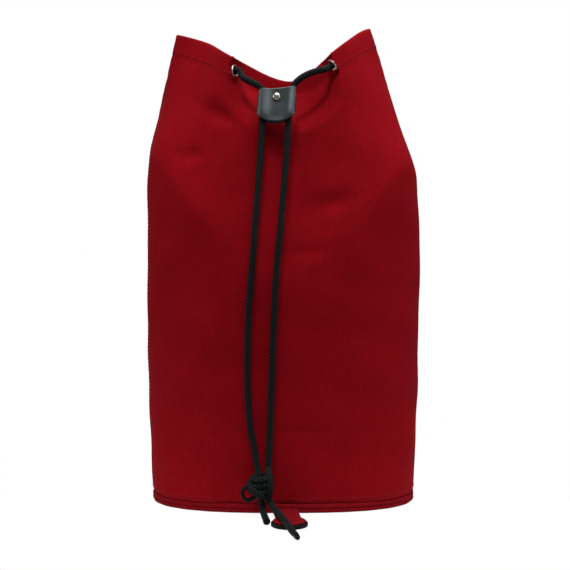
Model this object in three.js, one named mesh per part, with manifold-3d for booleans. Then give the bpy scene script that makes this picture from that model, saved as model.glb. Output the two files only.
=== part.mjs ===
// Drawstring throw rope bag: a canvas sack on a round-cornered base, laced shut by one cord
// through six eyelets, with a leather slider on the two free lengths of the cord.
// Millimetres, +Z up. The origin is the centre of the flat underside; the front faces -Y.
import * as THREE from "three";
import { mergeVertices } from "three/addons/utils/BufferGeometryUtils.js";
import Module from "manifold-3d";

const wasm = await Module();
wasm.setup();

// ---------------------------------------------------------------- driving dimensions
const GAP = 0.3; // left between pieces that touch
const CANVAS = 1.2; // wall cloth
const FACING = 1; // turned-in hem
const LINING_GAP = 0.6; // between the wall and what is sewn inside it
const FACING_DEPTH = 24; // how far the hem reaches below the mouth
const TAPE = 0.8; // binding over each side seam
const SEAM_HEIGHT = 10; // where the walls are sewn to the welt
const BASE = { halfWidth: 137, halfDepth: 83, power: 2.6 };
const BULGE = { width: 5.5, depth: 7, top: 420, power: -0.2 };
const SHOULDER_SOFTNESS = 0.12;
// The front is drawn in between its eyelets: steeply beside them, gently lower down.
const POCKET = { halfWidth: 58, narrowing: 0.65, top: 453, drop: 56, depth: 22, wall: 0.46 };
const POCKET_SOFT = { top: 446, bottom: 412, reach: 0.55, wall: 1.05 };
const CORD = 7; // diameter of the braided cord
const EYELET = { hole: 9, barrel: 9.8, flange: 13.6, drop: 13.5 };
const SLIDER = {
  x: -6.8,
  y: -60.2,
  z: 415.4,
  halfWidth: 19.8,
  halfDepth: 5.6,
  height: 36,
  wall: 1.5,
  round: 14,
};
const SLIDER_CUT = { depth: 3.2, height: 9.5 }; // behind its front face the slider ends lower
const SLIDE_DIRECTION = new THREE.Vector3(-0.075, -0.215, -1).normalize();
const RIVET = { cap: 8, post: 3.6, x: -0.5, z: 7.6 };
const TAB = { x: 1.5, neck: 26, reach: 52, radius: 16.7, rim: 1.8, turn: 0.09, backing: 4.3 };

// The mouth's edge, twelve places round from the front centre by way of the right side:
// x, y, z of the edge, and the height of the shoulder where the wall starts to lean in.
const MOUTH = [
  { x: 8, y: -44, z: 440, shoulder: 238 },
  { x: 50, y: -50, z: 469, shoulder: 285 },
  { x: 77, y: -19, z: 489, shoulder: 352 },
  { x: 90, y: 7, z: 494, shoulder: 338 },
  { x: 72, y: 32, z: 483, shoulder: 350 },
  { x: 42, y: 52, z: 458, shoulder: 285 },
  { x: 2, y: 45, z: 436, shoulder: 240 },
  { x: -42, y: 52, z: 455, shoulder: 285 },
  { x: -80, y: 32, z: 475, shoulder: 350 },
  { x: -111, y: 6, z: 488, shoulder: 368 },
  { x: -78, y: -17, z: 479, shoulder: 350 },
  { x: -49, y: -50, z: 463, shoulder: 283 },
];

// Turns of the eyelets. A turn is 0 at the front centre, 0.5 at the right and 1 at the back.
const EYELET_TURNS = [-0.168, -0.62, -0.87, 0.87, 0.62, 0.168];

const COLOURS = {
  canvas: [0x7d0713, 0.85, 0],
  facing: [0x6d0611, 0.88, 0],
  foam: [0xd8d4c4, 0.9, 0],
  nickel: [0xb9b6ac, 0.3, 1],
  cord: [0x171717, 0.7, 0],
  leather: [0x33383b, 0.45, 0],
  rubber: [0x121211, 0.7, 0],
};

const group = new THREE.Group();

// ---------------------------------------------------------------- small helpers
function material(kind) {
  const [color, roughness, metalness] = COLOURS[kind];
  return new THREE.MeshStandardMaterial({ color, roughness, metalness });
}

function bare(geometry) {
  const copy = geometry.clone();
  copy.deleteAttribute("normal");
  copy.deleteAttribute("uv");
  return mergeVertices(copy, 1e-4);
}

function addPiece(name, geometry, kind, parent = group) {
  const mesh = new THREE.Mesh(geometry, material(kind));
  mesh.name = name;
  parent.add(mesh);
  return mesh;
}

function toSolid(geometry) {
  const merged = bare(geometry);
  return new wasm.Manifold(
    new wasm.Mesh({
      numProp: 3,
      vertProperties: new Float32Array(merged.attributes.position.array),
      triVerts: new Uint32Array(merged.index.array),
    }),
  );
}

function toGeometry(solid) {
  const mesh = solid.getMesh();
  const geometry = new THREE.BufferGeometry();
  geometry.setAttribute("position", new THREE.BufferAttribute(mesh.vertProperties, 3));
  geometry.setIndex(new THREE.BufferAttribute(mesh.triVerts, 1));
  geometry.computeVertexNormals();
  return geometry;
}

// Cuts each cutter from a piece and keeps its one main body.
function cut(geometry, cutters) {
  let solid = toSolid(geometry);
  for (const cutter of cutters) solid = solid.subtract(toSolid(cutter));
  const bodies = solid.decompose().sort((a, b) => b.volume() - a.volume());
  return toGeometry(bodies[0]);
}

function lathe(profile, segments) {
  const points = profile.map(([radius, height]) => new THREE.Vector2(radius, height));
  return new THREE.LatheGeometry(points, segments).rotateX(Math.PI / 2);
}

function extrude(shape, z0, z1, curveSegments = 12) {
  const settings = { depth: z1 - z0, bevelEnabled: false, curveSegments };
  return new THREE.ExtrudeGeometry(shape, settings).translate(0, 0, z0);
}

// A round cord along hand-chosen points.
function rope(points, diameter, sides, steps) {
  const section = [];
  for (let i = 0; i < sides; i++) {
    const angle = (2 * Math.PI * i) / sides;
    section.push(new THREE.Vector2(Math.cos(angle), Math.sin(angle)).multiplyScalar(diameter / 2));
  }
  const route = points.map((p) => (p.isVector3 ? p : new THREE.Vector3(...p)));
  const extrudePath = new THREE.CatmullRomCurve3(route);
  return new THREE.ExtrudeGeometry(new THREE.Shape(section), {
    steps,
    bevelEnabled: false,
    extrudePath,
  });
}

// A closed solid between two grids of points with the same rows and columns.
// A ring's columns close on themselves; otherwise its two ends are walled.
function shell(outer, inner, ring) {
  const rows = outer.length;
  const columns = outer[0].length;
  const position = [];
  const index = [];
  for (const row of [...outer, ...inner]) for (const p of row) position.push(p.x, p.y, p.z);
  const at = (side, row, column) => side * rows * columns + row * columns + (column % columns);
  const quad = (a, b, c, d) => index.push(a, b, c, a, c, d);
  const spans = ring ? columns : columns - 1;
  for (let c = 0; c < spans; c++) {
    for (let r = 0; r < rows - 1; r++) {
      quad(at(0, r, c), at(0, r, c + 1), at(0, r + 1, c + 1), at(0, r + 1, c));
      quad(at(1, r, c), at(1, r + 1, c), at(1, r + 1, c + 1), at(1, r, c + 1));
    }
    quad(at(0, 0, c), at(1, 0, c), at(1, 0, c + 1), at(0, 0, c + 1));
    const top = rows - 1;
    quad(at(0, top, c), at(0, top, c + 1), at(1, top, c + 1), at(1, top, c));
  }
  if (!ring) {
    const end = columns - 1;
    for (let r = 0; r < rows - 1; r++) {
      quad(at(0, r, 0), at(0, r + 1, 0), at(1, r + 1, 0), at(1, r, 0));
      quad(at(0, r, end), at(1, r, end), at(1, r + 1, end), at(0, r + 1, end));
    }
  }
  const geometry = new THREE.BufferGeometry();
  geometry.setAttribute("position", new THREE.Float32BufferAttribute(position, 3));
  geometry.setIndex(index);
  geometry.computeVertexNormals();
  return geometry;
}

// ---------------------------------------------------------------- the bag's surface
const smooth = (low, high, value) => THREE.MathUtils.smoothstep(value, low, high);

// A value at any turn, from the twelve places round the mouth, on a smooth closed curve.
function round(key, turn) {
  const n = MOUTH.length;
  const place = ((((turn % 2) + 2) % 2) * n) / 2;
  const i = Math.floor(place);
  const u = place - i;
  const [a, b, c, d] = [-1, 0, 1, 2].map((k) => MOUTH[(i + k + n) % n][key]);
  return b + 0.5 * u * (c - a + u * (2 * a - 5 * b + 4 * c - d + u * (3 * (b - c) + d - a)));
}

// The upright lower part: a round-cornered outline that swells a little half way up.
function outline(turn, height, inset = 0) {
  const angle = Math.PI * turn + 0.13 * Math.sin(2 * Math.PI * turn);
  const swell = Math.sin(Math.PI * THREE.MathUtils.clamp(height / BULGE.top, 0, 1));
  const halfWidth = BASE.halfWidth + BULGE.width * swell - inset;
  const halfDepth = BASE.halfDepth + BULGE.depth * swell - inset;
  const power = BASE.power + BULGE.power * swell;
  const across = Math.abs(Math.sin(angle) / halfWidth) ** power;
  const along = Math.abs(Math.cos(angle) / halfDepth) ** power;
  const radius = (across + along) ** (-1 / power);
  return new THREE.Vector3(radius * Math.sin(angle), -radius * Math.cos(angle), height);
}

// A point of the wall's outer face: rise is 0 at the seam and 1 at the mouth.
function wall(turn, rise) {
  const edge = new THREE.Vector3(round("x", turn), round("y", turn), round("z", turn));
  const height = THREE.MathUtils.lerp(SEAM_HEIGHT, edge.z, rise);
  const shoulder = round("shoulder", turn);
  const u = (height - shoulder) / (edge.z - shoulder);
  const soft = SHOULDER_SOFTNESS;
  const lean = (u + Math.hypot(u, soft)) / (1 + Math.hypot(1, soft));
  const point = outline(turn, height).lerp(edge, lean).setZ(height);
  const front = Math.cos(Math.PI * turn) > 0 ? 1 : 0;
  const below = Math.max(0, POCKET.top - height) / POCKET.drop;
  const halfWidth = POCKET.halfWidth - POCKET.narrowing * Math.max(0, height - POCKET.top);
  const inside = 1 - (point.x / halfWidth) ** 2 - below ** 2;
  const gentle = 1 - smooth(POCKET_SOFT.bottom, POCKET_SOFT.top, height);
  const steep = THREE.MathUtils.lerp(POCKET.wall, POCKET_SOFT.wall, gentle);
  point.y += front * POCKET.depth * smooth(-gentle * POCKET_SOFT.reach, steep, inside);
  return point;
}

function wallNormal(turn, rise) {
  const step = 0.004;
  const high = Math.min(1, rise + step);
  const up = wall(turn, high).sub(wall(turn, high - 2 * step));
  const along = wall(turn + step, rise).sub(wall(turn - step, rise));
  return along.cross(up).normalize();
}

// The wall moved out (or in, when negative) along its normal.
function wallOffset(turn, rise, out) {
  return wall(turn, rise).addScaledVector(wallNormal(turn, rise), out);
}

// The rise that lies a given depth below the mouth.
function riseBelowMouth(turn, depth) {
  return 1 - depth / (round("z", turn) - SEAM_HEIGHT);
}

// Rows of points at a list of heights, each given as a function from turn to rise.
function wallGrid(turns, rows, out) {
  return rows.map((row) => turns.map((turn) => wallOffset(turn, row(turn), out)));
}

// ---------------------------------------------------------------- eyelets
function eyeletFrame(turn) {
  const rise = riseBelowMouth(turn, EYELET.drop);
  const centre = wall(turn, rise);
  const normal = wallNormal(turn, rise);
  let high = 0;
  let low = -CANVAS;
  for (const across of [-0.024, -0.012, 0, 0.012, 0.024]) {
    for (const up of [-0.014, 0, 0.014]) {
      const outside = wall(turn + across, rise + up).sub(centre);
      if (outside.length() > EYELET.flange / 2 + 0.6) continue;
      high = Math.max(high, outside.dot(normal));
      const depth = -(CANVAS + LINING_GAP + FACING);
      const inside = wallOffset(turn + across, rise + up, depth).sub(centre);
      low = Math.min(low, inside.dot(normal));
    }
  }
  const turned = new THREE.Quaternion().setFromUnitVectors(new THREE.Vector3(0, 0, 1), normal);
  return { centre, turned, high: high + GAP, low: low - GAP };
}

const EYELETS = EYELET_TURNS.map(eyeletFrame);

function placed(geometry, frame) {
  return geometry.applyQuaternion(frame.turned).translate(...frame.centre.toArray());
}

// What is cut from the cloth for an eyelet: a hole for its barrel, and room for its flange
// outside and its washer inside where the cloth curves up to them.
function eyeletCutter({ high, low, ...frame }) {
  const hole = EYELET.barrel / 2 + GAP;
  const rim = EYELET.flange / 2 + GAP;
  const spool = [
    [0, low - 3],
    [rim, low - 3],
    [rim, low + GAP],
    [hole, low + GAP],
    [hole, high - GAP],
    [rim, high - GAP],
    [rim, high + 3],
    [0, high + 3],
  ];
  return placed(lathe(spool, 12), frame);
}

function addEyelet(frame, number) {
  const hole = EYELET.hole / 2;
  const barrel = EYELET.barrel / 2;
  const flange = EYELET.flange / 2;
  const { high, low } = frame;
  const collar = [
    [hole, low - 1.2],
    [barrel, low - 1.2],
    [barrel, high],
    [flange, high],
    [flange - 0.9, high + 0.9],
    [hole + 0.5, high + 0.9],
    [hole, high + 0.4],
    [hole, low - 1.2],
  ];
  const ring = [
    [barrel + GAP, low - 0.9],
    [flange, low - 0.9],
    [flange, low],
    [barrel + GAP, low],
    [barrel + GAP, low - 0.9],
  ];
  addPiece(`eyelet_${number}`, placed(lathe(collar, 12), frame), "nickel");
  addPiece(`eyelet_washer_${number}`, placed(lathe(ring, 12), frame), "nickel");
}

// ---------------------------------------------------------------- canvas pieces
const SEAM_MARGIN = 0.0008; // half the gap between the panels at each side seam, as a turn

function spread(count, low, high, crowd) {
  const values = [];
  for (let i = 0; i <= count; i++) {
    const s = (2 * i) / count - 1;
    const eased = Math.sign(s) * Math.abs(s) ** crowd;
    values.push(THREE.MathUtils.lerp(low, high, 0.5 + eased / 2));
  }
  return values;
}

const panelTurns = (low, high) => spread(26, low + SEAM_MARGIN, high - SEAM_MARGIN, 1.35);
const FRONT_TURNS = panelTurns(-0.5, 0.5);
const BACK_TURNS = panelTurns(0.5, 1.5);

// The hem's rows hang from the mouth; the rows below it share out the rest of the wall.
const HEM_ROWS = [FACING_DEPTH, FACING_DEPTH / 2, 0].map((depth) => (turn) => riseBelowMouth(turn, depth));
const LOWER_ROWS = [];
for (let i = 0; i < 11; i++) {
  const share = 1 - (1 - i / 11) ** 1.2;
  LOWER_ROWS.push((turn) => share * riseBelowMouth(turn, FACING_DEPTH));
}

function addPanel(name, turns, holes) {
  const rows = [...LOWER_ROWS, ...HEM_ROWS];
  const body = shell(wallGrid(turns, rows, 0), wallGrid(turns, rows, -CANVAS), false);
  addPiece(name, cut(body, holes), "canvas");
}

function addFacing(holes) {
  const turns = [...FRONT_TURNS, ...BACK_TURNS];
  const out = CANVAS + LINING_GAP;
  const body = shell(wallGrid(turns, HEM_ROWS, -out), wallGrid(turns, HEM_ROWS, -out - FACING), true);
  const cordRoom = rope(lacingRoute(), CORD + 2 * GAP, 8, 64);
  addPiece("mouth_facing", cut(body, [...holes, cordRoom]), "facing");
}

function addSeamTape(name, turn) {
  const turns = spread(2, turn - 0.014, turn + 0.014, 1);
  const rows = LOWER_ROWS.slice(1);
  const out = CANVAS + 2 * LINING_GAP;
  const body = shell(wallGrid(turns, rows, -out), wallGrid(turns, rows, -out - TAPE), false);
  addPiece(name, body, "facing");
}

// ---------------------------------------------------------------- base
function baseShape(inset) {
  const points = [];
  for (let i = 0; i < 40; i++) {
    const p = outline((2 * i) / 40, 0, inset);
    points.push(new THREE.Vector2(p.x, p.y));
  }
  return new THREE.Shape(points);
}

function addBase() {
  const welt = baseShape(-0.6);
  welt.holes.push(new THREE.Path(baseShape(5).getPoints()));
  addPiece("base_welt", extrude(welt, 0.3, SEAM_HEIGHT - GAP), "canvas");
  addPiece("base_panel", extrude(baseShape(5.3), 0, 1.6), "canvas");
  addPiece("base_float", extrude(baseShape(9), 1.9, 13.9), "foam");
}

// ---------------------------------------------------------------- slider on the cords
function stadium(halfWidth, halfDepth) {
  const shape = new THREE.Shape();
  const side = halfWidth - halfDepth;
  shape.absarc(side, 0, halfDepth, -Math.PI / 2, Math.PI / 2);
  shape.absarc(-side, 0, halfDepth, Math.PI / 2, (3 * Math.PI) / 2);
  return shape;
}

// The slider seen from the front: hollow top edge, straight sides and a round bottom.
function sliderFace() {
  const half = SLIDER.halfWidth + 1;
  const top = SLIDER.height / 2;
  const shape = new THREE.Shape();
  shape.moveTo(-half, top);
  shape.lineTo(-half, -top + SLIDER.round);
  shape.absellipse(0, -top + SLIDER.round, half, SLIDER.round, Math.PI, 2 * Math.PI);
  shape.lineTo(half, top);
  shape.quadraticCurveTo(0, top - 3, -half, top);
  return shape;
}

function addSlider() {
  const slider = new THREE.Group();
  slider.position.set(SLIDER.x, SLIDER.y, SLIDER.z);
  slider.quaternion.setFromUnitVectors(new THREE.Vector3(0, 0, -1), SLIDE_DIRECTION);
  group.add(slider);

  const half = SLIDER.height / 2 + 1;
  const section = stadium(SLIDER.halfWidth, SLIDER.halfDepth);
  const channel = stadium(SLIDER.halfWidth - SLIDER.wall, SLIDER.halfDepth - SLIDER.wall);
  section.holes.push(new THREE.Path(channel.getPoints(5)));
  const sleeve = extrude(section, -half, half, 5);
  const face = extrude(sliderFace(), -12, 12, 8).rotateX(Math.PI / 2);
  const drill = new THREE.CylinderGeometry(RIVET.post / 2 + GAP, RIVET.post / 2 + GAP, 30, 16);
  drill.translate(RIVET.x, 0, RIVET.z);
  const room = new THREE.BoxGeometry(60, 12, 12);
  room.translate(0, 6 - SLIDER_CUT.depth, 6 + SLIDER_CUT.height);
  const cutters = toSolid(drill).add(toSolid(room));
  const wrap = toSolid(sleeve).intersect(toSolid(face)).subtract(cutters);
  addPiece("slider_wrap", toGeometry(wrap), "leather", slider);

  const front = SLIDER.halfDepth + GAP;
  const cap = [
    [0, front + 2],
    [1.8, front + 1.7],
    [3.2, front + 1],
    [RIVET.cap / 2, front],
    [RIVET.post / 2, front],
    [RIVET.post / 2, -front - 0.7],
    [0, -front - 0.7],
  ];
  const burr = [
    [RIVET.post / 2 + GAP, -front - 0.7],
    [RIVET.post / 2 + GAP, -front],
    [RIVET.cap / 2, -front],
    [RIVET.cap / 2, -front - 0.7],
    [RIVET.post / 2 + GAP, -front - 0.7],
  ];
  const seat = (profile) => lathe(profile.reverse(), 16).rotateX(Math.PI / 2).translate(RIVET.x, 0, RIVET.z);
  addPiece("slider_rivet", seat(cap), "nickel", slider);
  addPiece("slider_rivet_burr", seat(burr), "nickel", slider);
}

// ---------------------------------------------------------------- cord
// The laced length: from the slider up to the first eyelet, in and out round the mouth, and
// back. Each row is a turn, how far out from the wall, and how far below the mouth.
const LACING = [
  [-0.26, -14.5, 16],
  [-0.33, -12, 22],
  [-0.42, -16, 27],
  [-0.52, -24, 27],
  [-0.585, -14, 18.5],
];
const BACK_RUN = [
  [-0.66, 10.5, 14],
  [-0.745, 8, 15],
  [-0.83, 11, 14],
];
const BACK_CENTRE = [
  [-0.915, -12.5, 15],
  [1, -11, 15],
  [0.915, -12.5, 15],
];

function beside([turn, out, below]) {
  return wallOffset(turn, riseBelowMouth(turn, below), out);
}

// Straight through an eyelet, from one side of the wall to the other.
function through(number, inward) {
  const frame = EYELETS[number - 1];
  const normal = new THREE.Vector3(0, 0, 1).applyQuaternion(frame.turned);
  const stops = [7.5, 3, -2.5, -6.8].map((out) => frame.centre.clone().addScaledVector(normal, out));
  return inward ? stops : stops.reverse();
}

const mirrored = (rows) => rows.map(([turn, out, below]) => [-turn, out, below]).reverse();

function lacingRoute() {
  const start = [
    [-21, -60.2, 415.6],
    [-20.5, -58.5, 423.6],
    [-20.3, -56.8, 429],
    [-24.2, -55, 434.2],
    [-31, -54.6, 438.4],
    [-37, -54.5, 441.8],
    [-42, -54, 444.8],
  ];
  const finish = [
    [41.5, -54, 451.2],
    [33.5, -55, 449.4],
    [25, -55.3, 446.4],
    [17.4, -55.3, 442],
    [11.4, -55.6, 436.2],
    [8.3, -57.3, 428.6],
    [7.8, -58.6, 422.6],
    [7.4, -60.2, 415.6],
  ];
  return [
    ...start.map((p) => new THREE.Vector3(...p)),
    ...through(1, true),
    ...LACING.map(beside),
    ...through(2, false),
    ...BACK_RUN.map(beside),
    ...through(3, true),
    ...BACK_CENTRE.map(beside),
    ...through(4, false),
    ...mirrored(BACK_RUN).map(beside),
    ...through(5, true),
    ...mirrored(LACING).map(beside),
    ...through(6, false),
    ...finish.map((p) => new THREE.Vector3(...p)),
  ];
}

// The two free lengths hang from the slider to the knot.
const LEFT_CORD = [
  [-21, -60.2, 415.2],
  [-20.9, -63.9, 398],
  [-22.2, -68.4, 377],
  [-24.2, -74.6, 348],
  [-26.6, -81.2, 317],
  [-28.8, -86.9, 288],
  [-30.6, -89.8, 264],
  [-32.8, -91.3, 238],
  [-34.8, -92.1, 210],
  [-35.9, -92.5, 180],
  [-36.2, -92.2, 150],
  [-35.6, -91.5, 120],
  [-33.2, -90.8, 90],
  [-29, -91, 67],
  [-26, -92.8, 50.4],
];
const RIGHT_CORD = [
  [7.4, -60.2, 415.2],
  [5.1, -63.9, 398],
  [3.8, -68.4, 377],
  [1.8, -74.6, 348],
  [-0.8, -81.2, 317],
  [-3.2, -87, 288],
  [-5.6, -90.1, 264],
  [-7.6, -91.7, 238],
  [-9, -92.7, 210],
  [-10.2, -93.3, 180],
  [-11.2, -93, 150],
  [-12.4, -92.4, 120],
  [-13.4, -91.7, 90],
  [-14.2, -91.6, 67],
  [-15.4, -92.8, 50.4],
];
const SHORT_TAIL = [
  [-22.4, -98.5, 19],
  [-21.6, -99.6, 13.5],
  [-20.4, -103.2, 7.6],
  [-19, -110, 4.5],
  [-17.8, -119, 3.8],
  [-16.4, -133.5, 3.8],
];
const LONG_TAIL = [
  [-14.6, -98.8, 18.6],
  [-12.4, -101.6, 14.2],
  [-8.9, -109, 11],
  [-5.8, -120, 10.1],
  [-2.6, -134, 9.9],
  [0, -148, 9.8],
  [3.2, -162, 9],
  [7.8, -176, 5.6],
  [11.8, -189, 4],
  [14.4, -203, 3.8],
];
const KNOT = { x: -21.5, y: -97.2, z: 35, halfWidth: 13, halfDepth: 10.8, halfHeight: 15 };
const KNOT_LOOP = [
  [-35.2, -98.8, 30.4],
  [-38.2, -99.4, 30.9],
  [-40.6, -99.8, 28],
  [-41.1, -99.8, 24],
  [-39.2, -99.6, 19.4],
  [-35.2, -99, 17.6],
  [-30.6, -98.4, 19.6],
];

function addCord() {
  addPiece("mouth_cord", rope(lacingRoute(), CORD, 8, 64), "cord");
  addPiece("hanging_cord_left", rope(LEFT_CORD, CORD, 10, 20), "cord");
  addPiece("hanging_cord_right", rope(RIGHT_CORD, CORD, 10, 20), "cord");
  addPiece("short_tail", rope(SHORT_TAIL, CORD, 10, 6), "cord");
  addPiece("long_tail", rope(LONG_TAIL, CORD, 10, 10), "cord");
  const profile = [];
  for (let i = 0; i <= 8; i++) {
    const angle = THREE.MathUtils.degToRad(-66 + (132 * i) / 8);
    profile.push([Math.cos(angle), Math.sin(angle) / Math.sin(THREE.MathUtils.degToRad(66))]);
  }
  const knot = lathe([[0, -1], ...profile, [0, 1]], 14);
  knot.scale(KNOT.halfWidth, KNOT.halfDepth, KNOT.halfHeight).translate(KNOT.x, KNOT.y, KNOT.z);
  addPiece("cord_knot", knot, "cord");
  addPiece("knot_loop", rope(KNOT_LOOP, 4.4, 8, 12), "cord");
}

// ---------------------------------------------------------------- pull tab at the base
function addTab() {
  const tab = new THREE.Group();
  tab.position.set(TAB.x, -BASE.halfDepth - 2.2, 0);
  tab.rotation.z = TAB.turn;
  group.add(tab);
  const neck = TAB.neck / 2;
  const join = Math.asin(neck / TAB.radius);
  const shape = new THREE.Shape();
  shape.moveTo(neck, 0);
  shape.lineTo(-neck, 0);
  shape.absarc(0, -TAB.reach, TAB.radius, Math.PI / 2 + join, Math.PI / 2 - join + 2 * Math.PI);
  addPiece("tab_strap", extrude(shape, TAB.backing + GAP, TAB.backing + GAP + 1.3, 20), "canvas", tab);
  const edge = TAB.radius + TAB.rim;
  const disc = [
    [0, 0],
    [edge - 1, 0],
    [edge, 1],
    [edge, TAB.backing - 0.6],
    [edge - 0.6, TAB.backing],
    [0, TAB.backing],
  ];
  addPiece("tab_backing", lathe(disc, 32).translate(0, -TAB.reach, 0), "rubber", tab);
}

// ---------------------------------------------------------------- assembly
const holes = EYELETS.map(eyeletCutter);
addPanel("front_panel", FRONT_TURNS, holes);
addPanel("back_panel", BACK_TURNS, holes);
addFacing(holes);
addSeamTape("right_seam_tape", 0.5);
addSeamTape("left_seam_tape", -0.5);
addBase();
EYELETS.forEach((frame, i) => addEyelet(frame, i + 1));
addSlider();
addCord();
addTab();

export default group;
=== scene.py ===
"""A drawstring throw rope bag: the finished looks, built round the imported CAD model.

Metres, +Z up, the same frame as the CAD: the origin is the centre of the flat underside and
the front faces -Y. A turn is 0 at the front centre, 0.5 at the right and 1 at the back.
"""
import math

import bpy
import numpy as np
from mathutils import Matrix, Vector


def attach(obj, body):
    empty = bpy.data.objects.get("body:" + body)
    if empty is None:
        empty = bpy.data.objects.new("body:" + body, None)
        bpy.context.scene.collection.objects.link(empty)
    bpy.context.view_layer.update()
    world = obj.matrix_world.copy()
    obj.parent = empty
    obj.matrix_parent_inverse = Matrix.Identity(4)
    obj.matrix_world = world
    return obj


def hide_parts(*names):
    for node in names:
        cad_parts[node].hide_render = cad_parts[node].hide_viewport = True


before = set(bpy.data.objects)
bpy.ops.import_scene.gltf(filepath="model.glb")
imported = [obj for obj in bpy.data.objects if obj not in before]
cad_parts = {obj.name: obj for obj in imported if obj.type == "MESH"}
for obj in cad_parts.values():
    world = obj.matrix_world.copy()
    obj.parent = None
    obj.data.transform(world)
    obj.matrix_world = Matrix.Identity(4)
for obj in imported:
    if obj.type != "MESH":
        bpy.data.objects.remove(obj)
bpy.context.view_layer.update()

# ------------------------------------------------------------------ driving sizes
# The same as in the CAD, but for the shoulder's softness, which is 0.12 there.
SEAM_HEIGHT = 0.010  # where the walls are sewn to the welt
BASE_HALF_WIDTH = 0.137
BASE_HALF_DEPTH = 0.083
BASE_POWER = 2.6
BULGE_WIDTH = 0.0055
BULGE_DEPTH = 0.007
BULGE_TOP = 0.420
BULGE_POWER = -0.2
SHOULDER_SOFTNESS = 0.054
POCKET_HALF_WIDTH = 0.058
POCKET_NARROWING = 0.65
POCKET_TOP = 0.453
POCKET_DROP = 0.056
POCKET_DEPTH = 0.022
POCKET_WALL = 0.46
POCKET_SOFT_TOP = 0.446  # below here its edge gets softer
POCKET_SOFT_BOTTOM = 0.412
POCKET_SOFT_REACH = 0.55
POCKET_SOFT_WALL = 1.05
FACING_DEPTH = 0.024  # how far the hem reaches below the mouth
LINING_DEPTH = 0.0028  # wall, gap and turned-in hem together
CORD = 0.007  # diameter of the braided cord
LOOP_CORD = 0.0044
EYELET_DROP = 0.0135  # eyelet centre below the mouth
EYELET_HOLE = 0.0045
EYELET_BARREL = 0.0049
EYELET_FLANGE = 0.0068
WASHER = 0.0062
EYELET_TURNS = (-0.168, -0.62, -0.87, 0.87, 0.62, 0.168)
SLIDER_PLACE = Vector((-0.0068, -0.0602, 0.4154))
SLIDER_HALF_WIDTH = 0.0198
SLIDER_HALF_DEPTH = 0.0056
SLIDER_HEIGHT = 0.036
SLIDER_ROUND = 0.014  # height of its round bottom
SLIDER_CUT_DEPTH = 0.0032  # behind its front face the slider ends lower
SLIDER_CUT_HEIGHT = 0.0095
SLIDE_DIRECTION = Vector((-0.075, -0.215, -1)).normalized()
RIVET_PLACE = Vector((-0.0005, 0, 0.0076))
TAB_PLACE = Vector((0.0015, -0.0852, 0))
TAB_TURN = 0.09
TAB_NECK = 0.026
TAB_REACH = 0.052
TAB_RADIUS = 0.0167
TAB_RIM = 0.0018  # how far the backing shows past the strap
TAB_BACKING = 0.0043

# The mouth's edge, twelve places round from the front centre by way of the right side:
# x, y, z of the edge, and the height of the shoulder where the wall starts to lean in.
MOUTH = np.array(
    [
        (0.008, -0.044, 0.440, 0.238),
        (0.050, -0.050, 0.469, 0.285),
        (0.077, -0.019, 0.489, 0.352),
        (0.090, 0.007, 0.494, 0.338),
        (0.072, 0.032, 0.483, 0.350),
        (0.042, 0.052, 0.458, 0.285),
        (0.002, 0.045, 0.436, 0.240),
        (-0.042, 0.052, 0.455, 0.285),
        (-0.080, 0.032, 0.475, 0.350),
        (-0.111, 0.006, 0.488, 0.368),
        (-0.078, -0.017, 0.479, 0.350),
        (-0.049, -0.050, 0.463, 0.283),
    ]
)

# The free cord's routes: the two hanging lengths, then the tails and the loop at the knot.
LEFT_CORD = [
    (-0.0210, -0.0602, 0.4152),
    (-0.0209, -0.0639, 0.3980),
    (-0.0222, -0.0684, 0.3770),
    (-0.0242, -0.0746, 0.3480),
    (-0.0266, -0.0812, 0.3170),
    (-0.0288, -0.0869, 0.2880),
    (-0.0306, -0.0898, 0.2640),
    (-0.0328, -0.0913, 0.2380),
    (-0.0348, -0.0921, 0.2100),
    (-0.0359, -0.0925, 0.1800),
    (-0.0362, -0.0922, 0.1500),
    (-0.0356, -0.0915, 0.1200),
    (-0.0332, -0.0908, 0.0900),
    (-0.0290, -0.0910, 0.0670),
    (-0.0260, -0.0928, 0.0504),
]
RIGHT_CORD = [
    (0.0074, -0.0602, 0.4152),
    (0.0051, -0.0639, 0.3980),
    (0.0038, -0.0684, 0.3770),
    (0.0018, -0.0746, 0.3480),
    (-0.0008, -0.0812, 0.3170),
    (-0.0032, -0.0870, 0.2880),
    (-0.0056, -0.0901, 0.2640),
    (-0.0076, -0.0917, 0.2380),
    (-0.0090, -0.0927, 0.2100),
    (-0.0102, -0.0933, 0.1800),
    (-0.0112, -0.0930, 0.1500),
    (-0.0124, -0.0924, 0.1200),
    (-0.0134, -0.0917, 0.0900),
    (-0.0142, -0.0916, 0.0670),
    (-0.0154, -0.0928, 0.0504),
]
SHORT_TAIL = [
    (-0.0224, -0.0985, 0.0190),
    (-0.0216, -0.0996, 0.0135),
    (-0.0204, -0.1032, 0.0076),
    (-0.0190, -0.1100, 0.0045),
    (-0.0178, -0.1190, 0.0038),
    (-0.0164, -0.1335, 0.0038),
]
LONG_TAIL = [
    (-0.0146, -0.0988, 0.0186),
    (-0.0124, -0.1016, 0.0142),
    (-0.0089, -0.1090, 0.0110),
    (-0.0058, -0.1200, 0.0101),
    (-0.0026, -0.1340, 0.0099),
    (0.0000, -0.1480, 0.0098),
    (0.0032, -0.1620, 0.0090),
    (0.0078, -0.1760, 0.0056),
    (0.0118, -0.1890, 0.0040),
    (0.0144, -0.2030, 0.0038),
]
KNOT_LOOP = [
    (-0.0352, -0.0988, 0.0304),
    (-0.0382, -0.0994, 0.0309),
    (-0.0406, -0.0998, 0.0280),
    (-0.0411, -0.0998, 0.0240),
    (-0.0392, -0.0996, 0.0194),
    (-0.0352, -0.0990, 0.0176),
    (-0.0306, -0.0984, 0.0196),
]

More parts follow.
